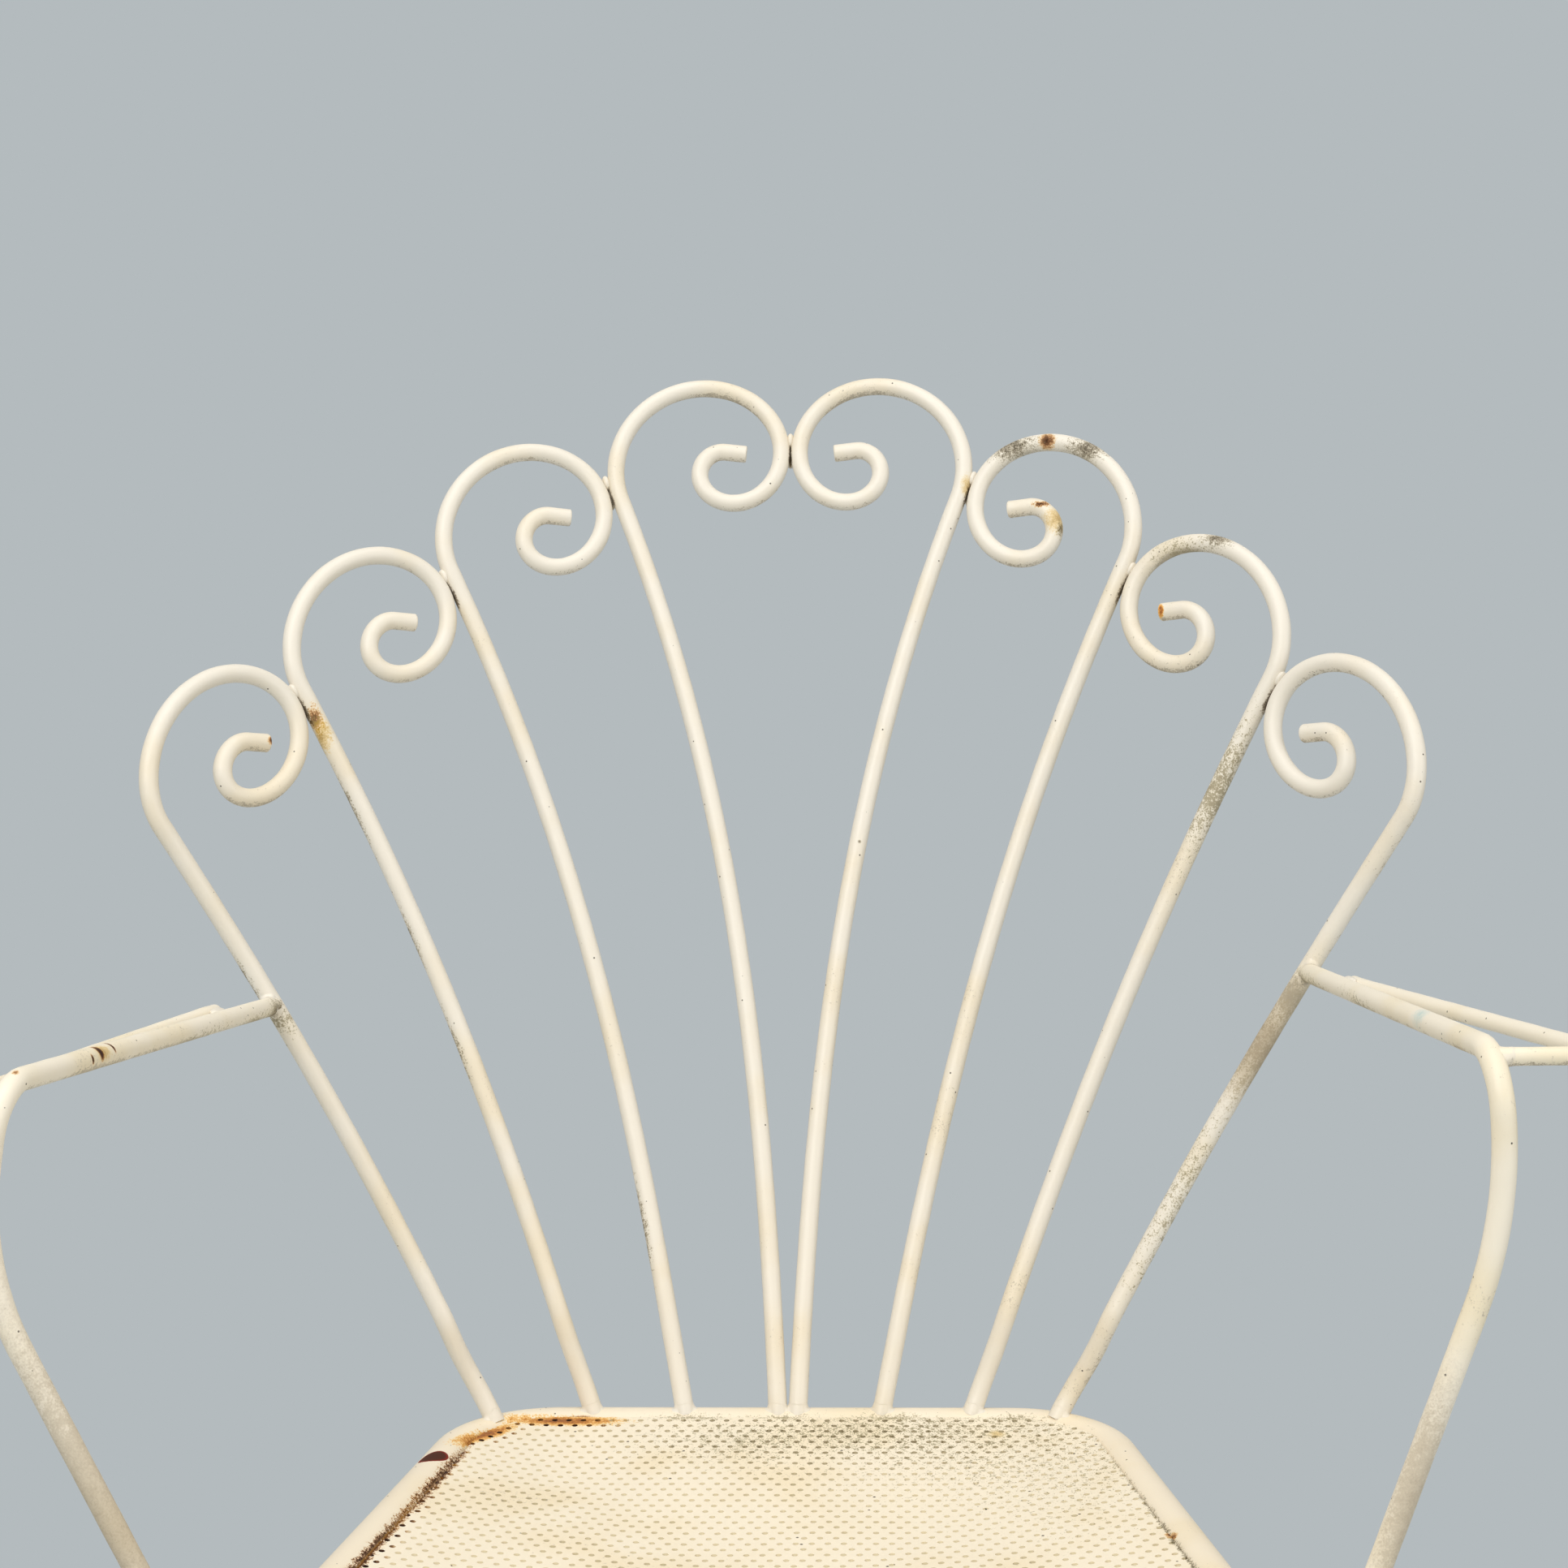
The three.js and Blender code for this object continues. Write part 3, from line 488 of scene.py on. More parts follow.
inset = SHEET_REACH * math.cos(SHEET_SEAT_ANGLE) + LEFT_GAP * np.clip(-rim_out[:, :1], 0, 1) ** 2
sheet_outline = rim_plan - inset * rim_out
sheet_plan, sheet_faces, on_cut = punched_plan(sheet_outline, rim_out)
sheet_heights = dished(sheet_plan, sheet_outline)
cut_waves = CUT_WAVE * np.prod(np.sin(sheet_plan * CUT_WAVE_TURNS), axis=1)
sheet_heights += np.where(on_cut, cut_waves, 0)
sheet_points, sheet_blocks = plate(sheet_plan, sheet_heights, sheet_faces, SHEET_THICKNESS)
sheet_stains = edge_stains + [
    ((0.0880, -0.0230, 0.4258), (0.0050, 0.0050, 0.004), 0.0, 1.0, YELLOW),
    ((-0.0100, -0.0360, 0.4300), (0.0700, 0.0400, 0.010), 0.0, 3.0, MOTTLE),
    ((0.0300, -0.0260, 0.4300), (0.0900, 0.0360, 0.010), 0.0, 3.0, MOTTLE),
    ((0.0700, -0.0550, 0.4300), (0.1000, 0.1200, 0.010), 0.0, 3.0, MOTTLE),
]
hole_stains = sheet_stains + [
    ((0.0300, -0.0200, 0.4260), (0.1200, 0.0450, 0.012), 0.0, 1.0, HOLE_DARK),
    ((-0.1470, -0.190, 0.4275), (0.0060, 0.160, 0.0060), LEFT_EDGE_TURN, 0.6, CUT_EDGE),
    ((-0.1215, -0.0310, 0.4275), (0.0240, 0.0070, 0.0070), math.radians(51), 0.6, CUT_EDGE),
    ((-0.0930, -0.0120, 0.4275), (0.0310, 0.0070, 0.0070), 0.0, 0.6, CUT_EDGE),
]
sheet_paint = enamel("thick_enamel_sheet", SHEET_CREAM, SHEET_CREAM_YELLOWED, grime=-0.02,
                     stains=sheet_stains, speck_gap=SHEET_SPECK_GAP_MM)
hole_paint = enamel("dirty_enamel_in_holes", HOLE_CREAM, HOLE_DIRT, grime=0.02, stains=hole_stains)
seat = mesh_piece("seat_plate", sheet_points, sheet_blocks, sheet_paint, hole_paint)
wall_count = len(sheet_blocks[2])
material_index = np.zeros(len(seat.data.polygons), dtype=np.int32)
material_index[-wall_count:] = 1
seat.data.polygons.foreach_set("material_index", material_index)
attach(seat, "root")
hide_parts("seat_sheet")

# Fan back: eight round steel rods, welded on to the rim, that lean back on one surface, flat at the rim
# and curved round the sitter above. Each stem runs into a scroll, bent cold and sawn off at its end.
ROD_RADIUS = 0.004
ROD_SIDES = 24
ROD_END_EDGE = 0.0008
END_STEPS = 5
FAN_LEAN = math.radians(22)
FAN_CURVE = 0.315
FAN_CURVE_RISE = 0.050
FOOT_DEPTH = 0.003
STEM_BOW = 1.6
STEM_STEPS = 160
# Foot on the rim from the middle, lean at the foot and at the shoulder, shoulder's height, widest bend.
BACK_RODS = {
    "left_1": (0.0030, 3.0, 21.2, 0.413, 0.0418),
    "left_2": (0.0424, 10.2, 26.4, 0.379, 0.0407),
    "left_3": (0.0814, 18.5, 31.5, 0.3265, 0.0402),
    "left_4": (0.1220, 27.1, 38.7, 0.270, 0.0400),
    "right_1": (0.0055, 2.8, 21.1, 0.413, 0.0418),
    "right_2": (0.0410, 11.3, 25.7, 0.381, 0.0408),
    "right_3": (0.0792, 19.7, 31.2, 0.328, 0.0405),
    "right_4": (0.1150, 28.3, 39.9, 0.270, 0.0399),
}
SCROLL_TIGHT = 0.006
SCROLL_HALFWAY = 2.44
SCROLL_TURN = 457
SCROLL_TIGHTENING = 3
SCROLL_TAIL = 0.010
SCROLL_STEPS = 204
TAIL_STEPS = 6
NEARLY_FLAT = 1e-6
SEAT_TOP = rim_high.z
ROD_STAINS = {
    "right_1": [
        ((0.0323, 0.0873, 0.6602), (0.0010, 0.0010, 0.0010), 0.0, 0.2, SOOT),
        ((0.0825, 0.1442, 0.8175), (0.0040, 0.0060, 0.0070), 0.0, 1.0, YELLOW),
    ],
    "right_2": [
        ((0.1186, 0.1373, 0.8379), (0.0045, 0.0050, 0.005), 0.0, 1.0, RUST),
        ((0.1023, 0.1427, 0.8358), (0.0140, 0.0090, 0.007), 0.0, 2.6, SOOT),
        ((0.1364, 0.1278, 0.8341), (0.0120, 0.0090, 0.007), 0.0, 2.6, SOOT),
        ((0.1225, 0.1229, 0.8021), (0.0080, 0.0080, 0.009), 0.0, 1.2, YELLOW),
        ((0.1155, 0.1272, 0.8092), (0.0050, 0.0040, 0.0016), 0.0, 1.8, RUST),
        ((0.1236, 0.1214, 0.7975), (0.0020, 0.0040, 0.0050), 0.0, 1.8, SOOT),
    ],
    "right_3": [
        ((0.1892, 0.0787, 0.7930), (0.0090, 0.0080, 0.005), 0.0, 2.4, SOOT),
        ((0.1740, 0.0880, 0.7860), (0.0260, 0.0180, 0.012), 0.0, 2.4, MOTTLE),
        ((0.1650, 0.0815, 0.7617), (0.0016, 0.0040, 0.005), 0.0, 1.2, BLEED),
        ((0.1840, 0.0410, 0.6870), (0.0450, 0.0300, 0.060), 0.0, 2.4, MOTTLE),
    ],
    "right_4": [
        ((0.2070, -0.0140, 0.6060), (0.0120, 0.0100, 0.0140), 0.0, 2.0, SOOT),
        ((0.1980, -0.0120, 0.5850), (0.0400, 0.0500, 0.0460), 0.0, 2.0, MOTTLE),
        # Below the arm: painted shade with some dirt.
        ((0.1980, -0.0120, 0.5850), (0.0300, 0.0300, 0.0400), 0.0, 1.2, SHADE_AND_SMUDGE),
        ((0.1800, -0.0100, 0.5000), (0.0600, 0.0500, 0.0900), 0.0, 2.2, MOTTLE),
    ],
    "left_3": [
        ((-0.2002, 0.0405, 0.7190), (0.0040, 0.0040, 0.0080), 0.0, 1.6, RUST),
        ((-0.1980, 0.0409, 0.7120), (0.0060, 0.0060, 0.0100), 0.0, 1.6, YELLOW),
    ],
    "left_4": [
        ((-0.2153, 0.0232, 0.7120), (0.0018, 0.0030, 0.0024), 0.0, 0.8, RUST),
        ((-0.2080, -0.0120, 0.5980), (0.0160, 0.0160, 0.0120), 0.0, 2.2, MOTTLE),
        ((-0.2051, -0.0120, 0.5873), (0.0010, 0.0030, 0.0010), 0.0, 0.2, SOOT),
    ],
}
ROD_GRIME = {"right_4": 0.05, "right_3": 0.02, "right_2": 0.01, "right_1": 0.0,
             "left_1": 0.0, "left_2": 0.0, "left_3": -0.08, "left_4": -0.07}
# Dirt and painted shade in the groove where a scroll touches the next stem, which happens above this step of
# the stems.
UPPER_STEM = STEM_STEPS // 3
GROOVE_SIZES = (0.0010, 0.0045, 0.0080)
GROOVE_BELOW = 0.0038
GROOVE_RAGGED = 1.6
# Streaks of dirt on the outer side of a stem, each between two of the stem's steps.
STEM_STREAKS = {"left_2": [(24, 44)], "left_3": [(70, 90), (96, 112), (122, 144)], "left_4": [(110, 128)]}
STREAK_REACH = (0.0034, 0.0085)
STREAK_HALF = 0.55
STREAK_RAGGED = 2.4


def rim_setback(x, side):
    """How far in front of its straight rear the rim's centre line lies, at a distance from the middle."""
    turn = math.pi / 2 - math.atan(SIDE_TAPER[side])
    past = max(0.0, x - REAR_HALF_WIDTH + REAR_CORNER * math.tan(turn / 2))
    return REAR_CORNER - math.sqrt(REAR_CORNER ** 2 - past ** 2)


def on_fan(across, rise, setback):
    """Places on the fan: x is the sine of the bent distance across over the bend, and y is the slope's
    run less the bend's depth. The bend fades in with a smooth step above the rods' feet."""
    share = np.clip(rise / FAN_CURVE_RISE, 0, 1)
    curved = share * share * (3 - 2 * share)
    bend = curved / FAN_CURVE + NEARLY_FLAT
    forward = (1 - np.cos(bend * across)) / bend + setback * (1 - curved)
    x = np.sin(bend * across) / bend
    y = rise * math.sin(FAN_LEAN) - forward
    return np.column_stack([x, y, SEAT_TOP + rise * math.cos(FAN_LEAN)])


def back_rod_line(side, foot, foot_lean, shoulder_lean, shoulder, wide):
    """A back rod's centre line: across a stem whose slope grows with a power of its height, then round a
    scroll whose radius shrinks with the angle turned, then along a short straight tail."""
    slope = math.tan(math.radians(foot_lean))
    growth = math.tan(math.radians(shoulder_lean)) - slope
    rise = np.append(-FOOT_DEPTH, np.linspace(0, shoulder, STEM_STEPS))
    bow = (np.clip(rise, 0, None) / shoulder) ** STEM_BOW / (STEM_BOW + 1)
    across = foot + slope * rise + growth * rise * bow
    step = (SCROLL_TURN + shoulder_lean) / SCROLL_STEPS
    heading = shoulder_lean - step * (np.arange(SCROLL_STEPS) + 0.5)
    shrink = 1 + (np.abs(heading) / 90 / SCROLL_HALFWAY) ** SCROLL_TIGHTENING
    arc = (SCROLL_TIGHT + (wide - SCROLL_TIGHT) / shrink) * math.radians(step)
    tail = np.full(TAIL_STEPS, SCROLL_TAIL / TAIL_STEPS)
    headings = np.radians(np.append(heading, np.full(TAIL_STEPS, heading[-1] - step / 2)))
    run = np.append(arc, tail)
    across = np.append(across, across[-1] + np.cumsum(run * np.sin(headings)))
    rise = np.append(rise, rise[-1] + np.cumsum(run * np.cos(headings)))
    return on_fan(side * across, rise, rim_setback(foot, side))


def with_round_end(line, radius, edge):
    """The line with its last stretch cut into small steps, and the radius at each of its points, so that
    the bar's end keeps a flat face inside a quarter-round edge."""
    way = line[-1] - line[-2]
    way /= np.linalg.norm(way)
    angle = np.linspace(0, math.pi / 2, END_STEPS)
    ends = line[-1] + (edge * (np.sin(angle) - 1))[:, None] * way
    radii = np.append(np.full(len(line) - 1, radius), radius - edge + edge * np.cos(angle))
    return np.vstack([line[:-1], ends]), radii


BRUSH_DEPTH = 0.00004
BRUSH_WAVE = 0.0034
BRUSH_LONG_WAVE = 0.0121


def brushed(line, radii, phase):
    """Radii made uneven by the brush: a wave times a longer wave along the line takes off up to some
    hundredths of a millimetre."""
    length = np.append(0, np.cumsum(np.linalg.norm(np.diff(line, axis=0), axis=1)))
    waves = np.sin(length / BRUSH_WAVE + phase) * np.sin(length / BRUSH_LONG_WAVE + 2 * phase)
    return radii - BRUSH_DEPTH * (1 - waves)


def touch(first, second):
    """Where two lines come nearest: the middle of the shortest way between them, that way's direction
    and length, and the direction of the first line there, turned upwards."""
    gaps = np.linalg.norm(first[:, None] - second[None], axis=-1)
    i, j = np.unravel_index(gaps.argmin(), gaps.shape)
    along = unit(first[min(i + 2, len(first) - 1)] - first[i - 2])
    along *= math.copysign(1, along[2])
    return (first[i] + second[j]) / 2, unit(second[j] - first[i]), gaps[i, j], along


def lying(across, along):
    """The three turns of a stain whose x lies across and whose z lies along, square to each other."""
    axes = np.column_stack([across, np.cross(along, across), along])
    return tuple(mathutils.Matrix(axes.tolist()).to_euler())


fan = {name: back_rod_line(-1 if name.startswith("left") else 1, *rod) for name, rod in BACK_RODS.items()}
scroll_touches, groove_shade_and_dirt = {}, {name: [] for name in fan}
neighbours = {"middle": ("left_1", "right_1")}
for side_name in ("left", "right"):
    neighbours |= {f"{side_name}_{k}": (f"{side_name}_{k - 1}", f"{side_name}_{k}") for k in (2, 3, 4)}
for weld_name, (first, second) in neighbours.items():
    centre, across, gap, along = touch(fan[first][UPPER_STEM:], fan[second][UPPER_STEM:])
    behind = unit(np.cross(across, along))
    behind *= math.copysign(1, behind[1])
    scroll_touches[weld_name] = centre, across, gap, along, behind
    # The groove's mark, on both rods and on the bead seen between them, is painted shade of the gap with
    # some dirt.
    groove_turns = lying(np.cross(behind, along), along)
    groove = (centre - GROOVE_BELOW * along, GROOVE_SIZES, groove_turns, GROOVE_RAGGED, GROOVE_SHADE_AND_DIRT)
    groove_shade_and_dirt[first].append(groove)
    groove_shade_and_dirt[second].append(groove)
streak_stains = {name: [] for name in fan}
for name, runs in STEM_STREAKS.items():
    for start, stop in runs:
        stretch = fan[name][stop] - fan[name][start]
        out = unit(np.cross((0, 1, 0), stretch))
        out *= math.copysign(1, out[0] * fan[name][start][0])
        middle = fan[name][start] + stretch / 2 + ROD_RADIUS * out
        sizes = (*STREAK_REACH, STREAK_HALF * float(np.linalg.norm(stretch)))
        streak_stains[name].append((middle, sizes, lying(out, unit(stretch)), STREAK_RAGGED, STREAK))
for phase, name in enumerate(fan):
    line, radii = with_round_end(fan[name], ROD_RADIUS, ROD_END_EDGE)
    slope_out = (0, -math.cos(FAN_LEAN), math.sin(FAN_LEAN))
    points, faces = bar(line, brushed(line, radii, phase), ROD_SIDES, slope_out)
    stains = ROD_STAINS.get(name, []) + streak_stains[name] + groove_shade_and_dirt[name]
    paint = enamel(f"brushed_enamel_rod_{name}", CREAM, CREAM_YELLOWED, ROD_GRIME[name], stains)
    piece = mesh_piece(f"fan_rod_{name}", points, faces, paint)
    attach(piece, "root")
    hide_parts(f"back_rod_{name}")

# Welds at the rods' feet: a lumpy collar of weld metal under thick paint, from each rod down on to the
# rim. The two middle rods stand so close that their collars run into one.
COLLAR_HEIGHT = 0.0018
COLLAR_REACH = 0.0013
COLLAR_SIDES = 32
COLLAR_SUNK = 0.0004
COLLAR_LIFT = 0.00005
COLLAR_HOLLOW = 0.30
HOLLOW_TOWARDS = 0.1
HOLLOW_ROWS = 7
# Each wave of the lumps: how large it is, how often it goes round, and how far the phase turns it.
COLLAR_LUMPS = [(0.16, 2, 1), (0.10, 5, 2.3)]
NOT_ALONG_A_ROD = (0.31, 0.95, 0.05)
WELD_GRIME = 0.06


def on_bar(points, line, radius, closed=False):
    """Points moved straight on to the surface of a round bar."""
    middle = nearest_on(line, points, closed)
    return middle + radius * unit(points - middle)


def lumpy(angle, waves, phase):
    """How large a weld is at each angle round it: one plus each wave's sine."""
    return sum((size * np.sin(times * angle + turn * phase) for size, times, turn in waves), 1)


def fillet(upper, lower, inner, hollow_to, hollow):
    """Weld metal between an upper and a lower ring: rows that go straight from one to the other, drawn
    towards a third ring by a share that is greatest halfway, and closed by an inner ring."""
    share = np.linspace(0, 1, HOLLOW_ROWS)[:, None, None]
    drawn_in = hollow * 4 * share * (1 - share) * (hollow_to - (upper + lower) / 2)
    rows = np.concatenate([(1 - share) * upper + share * lower + drawn_in, inner[None]])
    return rows.reshape(-1, 3), [grid_faces(len(rows), COLLAR_SIDES, rows_close=True)]


def collar(foot, way, radius, other, height, reach, phase):
    """A weld collar round a bar's end: an upper ring on the bar, its height waving round it, and a lower
    ring on the other bar, which is given by its line, its radius and whether it is closed."""
    aside = unit(np.cross(way, NOT_ALONG_A_ROD))
    angle = round_angles(COLLAR_SIDES)
    ring = np.cos(angle) * aside + np.sin(angle) * np.cross(way, aside)
    lumps = lumpy(angle, COLLAR_LUMPS, phase)
    upper = foot + height * lumps * way + (radius + COLLAR_LIFT) * ring
    lower = on_bar(foot + (radius + reach * lumps) * ring, *other)
    inner = on_bar(foot + (radius - COLLAR_SUNK) * ring, *other) - COLLAR_SUNK * way
    return fillet(upper, lower, inner, inner + radius * HOLLOW_TOWARDS * ring, COLLAR_HOLLOW)


def joined(*shells):
    """Several shells' points and faces as one mesh's."""
    points, faces, count = [], [], 0
    for shell_points, shell_faces in shells:
        points.append(shell_points)
        faces += [block + count for block in shell_faces]
        count += len(shell_points)
    return np.vstack(points), faces


def foot_collar(name):
    """The collar at the foot of a back rod, whose lumps are turned by a number made from its name."""
    foot, way = fan[name][1], unit(fan[name][2] - fan[name][1])
    return collar(foot, way, ROD_RADIUS, on_rim, COLLAR_HEIGHT, COLLAR_REACH, sum(map(ord, name)))


on_rim = rim_line, RIM_RADIUS, True
weld_paint = enamel("enamel_over_weld", CREAM, CREAM_YELLOWED, WELD_GRIME)
foot_welds = {"middle": ["left_1", "right_1"]}
foot_welds |= {name: [name] for name in fan if not name.endswith("1")}
for weld_name, rods in foot_welds.items():
    points, faces = joined(*(foot_collar(name) for name in rods))
    piece = mesh_piece(f"foot_collar_{weld_name}", points, faces, weld_paint)
    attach(piece, "root")
    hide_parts(f"weld_foot_{weld_name}")

# Welds behind the scrolls: where a scroll touches its neighbour's stem, a bead of weld lies in the groove
# behind them and comes through between them at the top. Painted over with the rest.
BEAD_RADIUS = 0.0024
BEAD_HALF_LENGTH = 0.0075
BEAD_RISE = 0.0020
# How far the bead's middle stays from both rods' surfaces, as a share of its own radius.
BEAD_PRESSED = 0.8
BEAD_RINGS = 15
BEAD_SIDES = 20
BEAD_FULLNESS = 0.7
BEAD_WAVES = 13
BEAD_WAVE_DEPTH = 0.10
WEB_SIZES = (0.0016, 0.0030, 0.0034)
WEB_UP = 0.62
WEB_BEHIND = 0.0006


def ellipsoid(centre, axes, sizes, ripples=0.0):
    """An ellipsoid on three given axes: cosine and sine of a longitude, sine of a latitude, each times
    its half size, with the girth waving along the long axis as a weld's ripples do."""
    latitude, longitude = np.meshgrid(
        np.linspace(-math.pi / 2, math.pi / 2, BEAD_RINGS + 2)[1:-1],
        np.linspace(0, 2 * math.pi, BEAD_SIDES, endpoint=False), indexing="ij")
    girth = np.cos(latitude) ** BEAD_FULLNESS * (1 + ripples * np.sin(np.sin(latitude) * BEAD_WAVES))
    shares = [girth * np.cos(longitude), girth * np.sin(longitude), np.sin(latitude)]
    points = sum(s[..., None] * size * np.asarray(axis) for s, size, axis in zip(shares, sizes, axes))
    points = (centre + points).reshape(-1, 3)
    poles = [centre - sizes[2] * np.asarray(axes[2]), centre + sizes[2] * np.asarray(axes[2])]
    ring, count = np.arange(BEAD_SIDES), len(points)
    following, pole = np.roll(ring, -1), np.full(BEAD_SIDES, count)
    top = count - BEAD_SIDES
    south = np.stack([following, ring, pole], axis=-1)
    north = np.stack([top + ring, top + following, pole + 1], axis=-1)
    return np.vstack([points, poles]), [grid_faces(BEAD_RINGS, BEAD_SIDES), south, north]


# The beads carry the grooves' painted shade and dirt, so they show dark between the rods.
grooves = [groove for name in ("left_1", "left_3", "right_1", "right_3") for groove in groove_shade_and_dirt[name]]
scroll_weld_paint = enamel("enamel_over_scroll_weld", CREAM, CREAM_YELLOWED, WELD_GRIME, grooves)
for weld_name, (centre, across, gap, along, behind) in scroll_touches.items():
    depth = math.sqrt((ROD_RADIUS + BEAD_RADIUS * BEAD_PRESSED) ** 2 - (gap / 2) ** 2)
    bead_centre = centre + depth * behind + BEAD_RISE * along
    bead_sizes = (BEAD_RADIUS, BEAD_RADIUS, BEAD_HALF_LENGTH)
    bead = ellipsoid(bead_centre, (across, behind, along), bead_sizes, BEAD_WAVE_DEPTH)
    web_centre = centre + (BEAD_RISE + WEB_UP * BEAD_HALF_LENGTH) * along + WEB_BEHIND * behind
    web = ellipsoid(web_centre, (across, behind, along), WEB_SIZES)
    points, faces = joined(bead, web)
    piece = mesh_piece(f"scroll_bead_{weld_name}", points, faces, scroll_weld_paint)
    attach(piece, "root")
    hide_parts(f"weld_scroll_{weld_name}")

# Arms: on each side one steel rod runs forward from the outer back rod, bends down at the front and is
# welded on to the rim. The left one was set lower. Brushed enamel, worn and rust-cracked on the left.
ARM_FRONT_Y = -0.290
ARM_BEND = 0.018
ARM_STEP = 0.0025
LEAST_ON_ARC = 6
POST_SUNK = 0.0065
ARMS = {
    "left": {"side": -1, "back": 0.174, "front": 0.196, "front_x": 0.2337, "knee": 0.138, "knee_x": 0.2423,
             "knee_bend": 0.100, "droop": 15, "start_raise": 20, "grime": 0.02},
    "right": {"side": 1, "back": 0.186, "front": 0.205, "front_x": 0.2325, "knee": 0.154, "knee_x": 0.2366,
              "knee_bend": 0.150, "droop": 0, "start_raise": 3, "grime": 0.0},
}
ARM_CREAM = "#EFE6D3"
ARM_CREAM_YELLOWED = "#EADDBF"
ARM_STAINS = {
    "right": [
        ((0.2248, -0.2043, 0.6320), (0.0040, 0.0090, 0.006), 0.0, 1.0, BLUE),
        ((0.2382, -0.2809, 0.6350), (0.0030, 0.0030, 0.004), 0.0, 1.0, YELLOW),
        ((0.2110, -0.0170, 0.6120), (0.0080, 0.0100, 0.0060), 0.0, 1.8, SOOT),
        ((0.2110, -0.0500, 0.6150), (0.0120, 0.0600, 0.0060), 0.0, 2.4, MOTTLE),
        ((0.2180, -0.1300, 0.6205), (0.0120, 0.0600, 0.0060), 0.0, 2.4, MOTTLE),
        # Down the post: painted shade with some dirt.
        ((0.2080, -0.2960, 0.4860), (0.0200, 0.0100, 0.0800), 0.0, 0.8, SHADE_AND_SMUDGE),
    ],
    "left": [
        ((-0.2232, -0.2085, 0.6216), (0.0060, 0.0080, 0.0040), 0.0, 1.0, YELLOW),
        ((-0.2235, -0.2113, 0.6222), (0.0060, 0.0026, 0.0040), 0.0, 0.4, CUT_EDGE),
        ((-0.2225, -0.1990, 0.6222), (0.0060, 0.0011, 0.0034), 0.0, 0.4, CUT_EDGE),
        ((-0.2245, -0.2200, 0.6212), (0.0060, 0.0012, 0.0022), 0.0, 0.4, CUT_EDGE),
        ((-0.2245, -0.2220, 0.6258), (0.0030, 0.0080, 0.0007), 0.0, 0.4, CUT_EDGE),
        ((-0.2318, -0.2775, 0.6285), (0.0016, 0.0024, 0.0014), 0.0, 0.6, RUST),
        ((-0.2075, -0.0170, 0.6030), (0.0080, 0.0120, 0.0060), 0.0, 1.8, SOOT),
        ((-0.2090, -0.0450, 0.6030), (0.0120, 0.0400, 0.0060), 0.0, 2.4, MOTTLE),
        ((-0.2163, -0.1200, 0.6080), (0.0120, 0.0800, 0.0060), 0.0, 2.4, MOTTLE),
        # Down the post: painted shade with some dirt.
        ((-0.2100, -0.2960, 0.4600), (0.0700, 0.0700, 0.1300), 0.0, 0.8, SHADE_AND_SMUDGE),
    ],
}


def bent(points, radii, step):
    """Straight runs through points, joined at the inner ones by arcs of the given radii, with points
    about a step apart: on an arc, start plus radius times sine ahead and one minus cosine aside."""
    points = np.asarray(points, dtype=float)
    stretches = []
    last = points[0]
    for corner, following, radius in zip(points[1:-1], points[2:], radii):
        into, out = unit(corner - last), unit(following - corner)
        turn = math.acos(float(np.clip(into @ out, -1, 1)))
        aside = unit(out - (into @ out) * into)
        start = corner - radius * math.tan(turn / 2) * into
        stretches.append(run(last, start, step, least=2))
        angle = np.linspace(0, turn, max(LEAST_ON_ARC, round(radius * turn / step)))[:-1, None]
        stretches.append(start + radius * (np.sin(angle) * into + (1 - np.cos(angle)) * aside))
        last = start + radius * (math.sin(turn) * into + (1 - math.cos(turn)) * aside)
    stretches.append(run(last, points[-1], step, least=2, to_end=True))
    return np.vstack(stretches)


def at_height(line, z):
    """The point of a line at a height, on its first way up."""
    k = int(np.argmax(line[:, 2] > z))
    return line[k - 1] + (line[k] - line[k - 1]) * (z - line[k - 1, 2]) / (line[k, 2] - line[k - 1, 2])


for name, arm in ARMS.items():
    side = arm["side"]
    arm["back_point"] = at_height(fan[f"{name}_4"], SEAT_TOP + arm["back"])
    arm["corner"] = np.array([side * arm["front_x"], ARM_FRONT_Y, SEAT_TOP + arm["front"]])
    knee = np.array([side * arm["knee_x"], ARM_FRONT_Y, SEAT_TOP + arm["knee"]])
    post_foot = np.array([rail_x(side, ARM_FRONT_Y), ARM_FRONT_Y, RIM_Z])
    arm_corners = [post_foot, knee, arm["corner"], arm["back_point"]]
    arm["line"] = bent(arm_corners, [arm["knee_bend"], ARM_BEND], ARM_STEP)
    line = arm["line"][np.linalg.norm(arm["line"] - post_foot, axis=1) > POST_SUNK]
    radii = brushed(line, np.full(len(line), ROD_RADIUS), phase=1.7)
    points, faces = bar(line, radii, ROD_SIDES, (1, 0, 0))
    stains = ARM_STAINS[name]
    paint = enamel(f"brushed_enamel_arm_{name}", ARM_CREAM, ARM_CREAM_YELLOWED, arm["grime"], stains)
    piece = mesh_piece(f"arm_bar_{name}", points, faces, paint)
    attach(piece, "root")
    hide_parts(f"arm_rod_{name}")

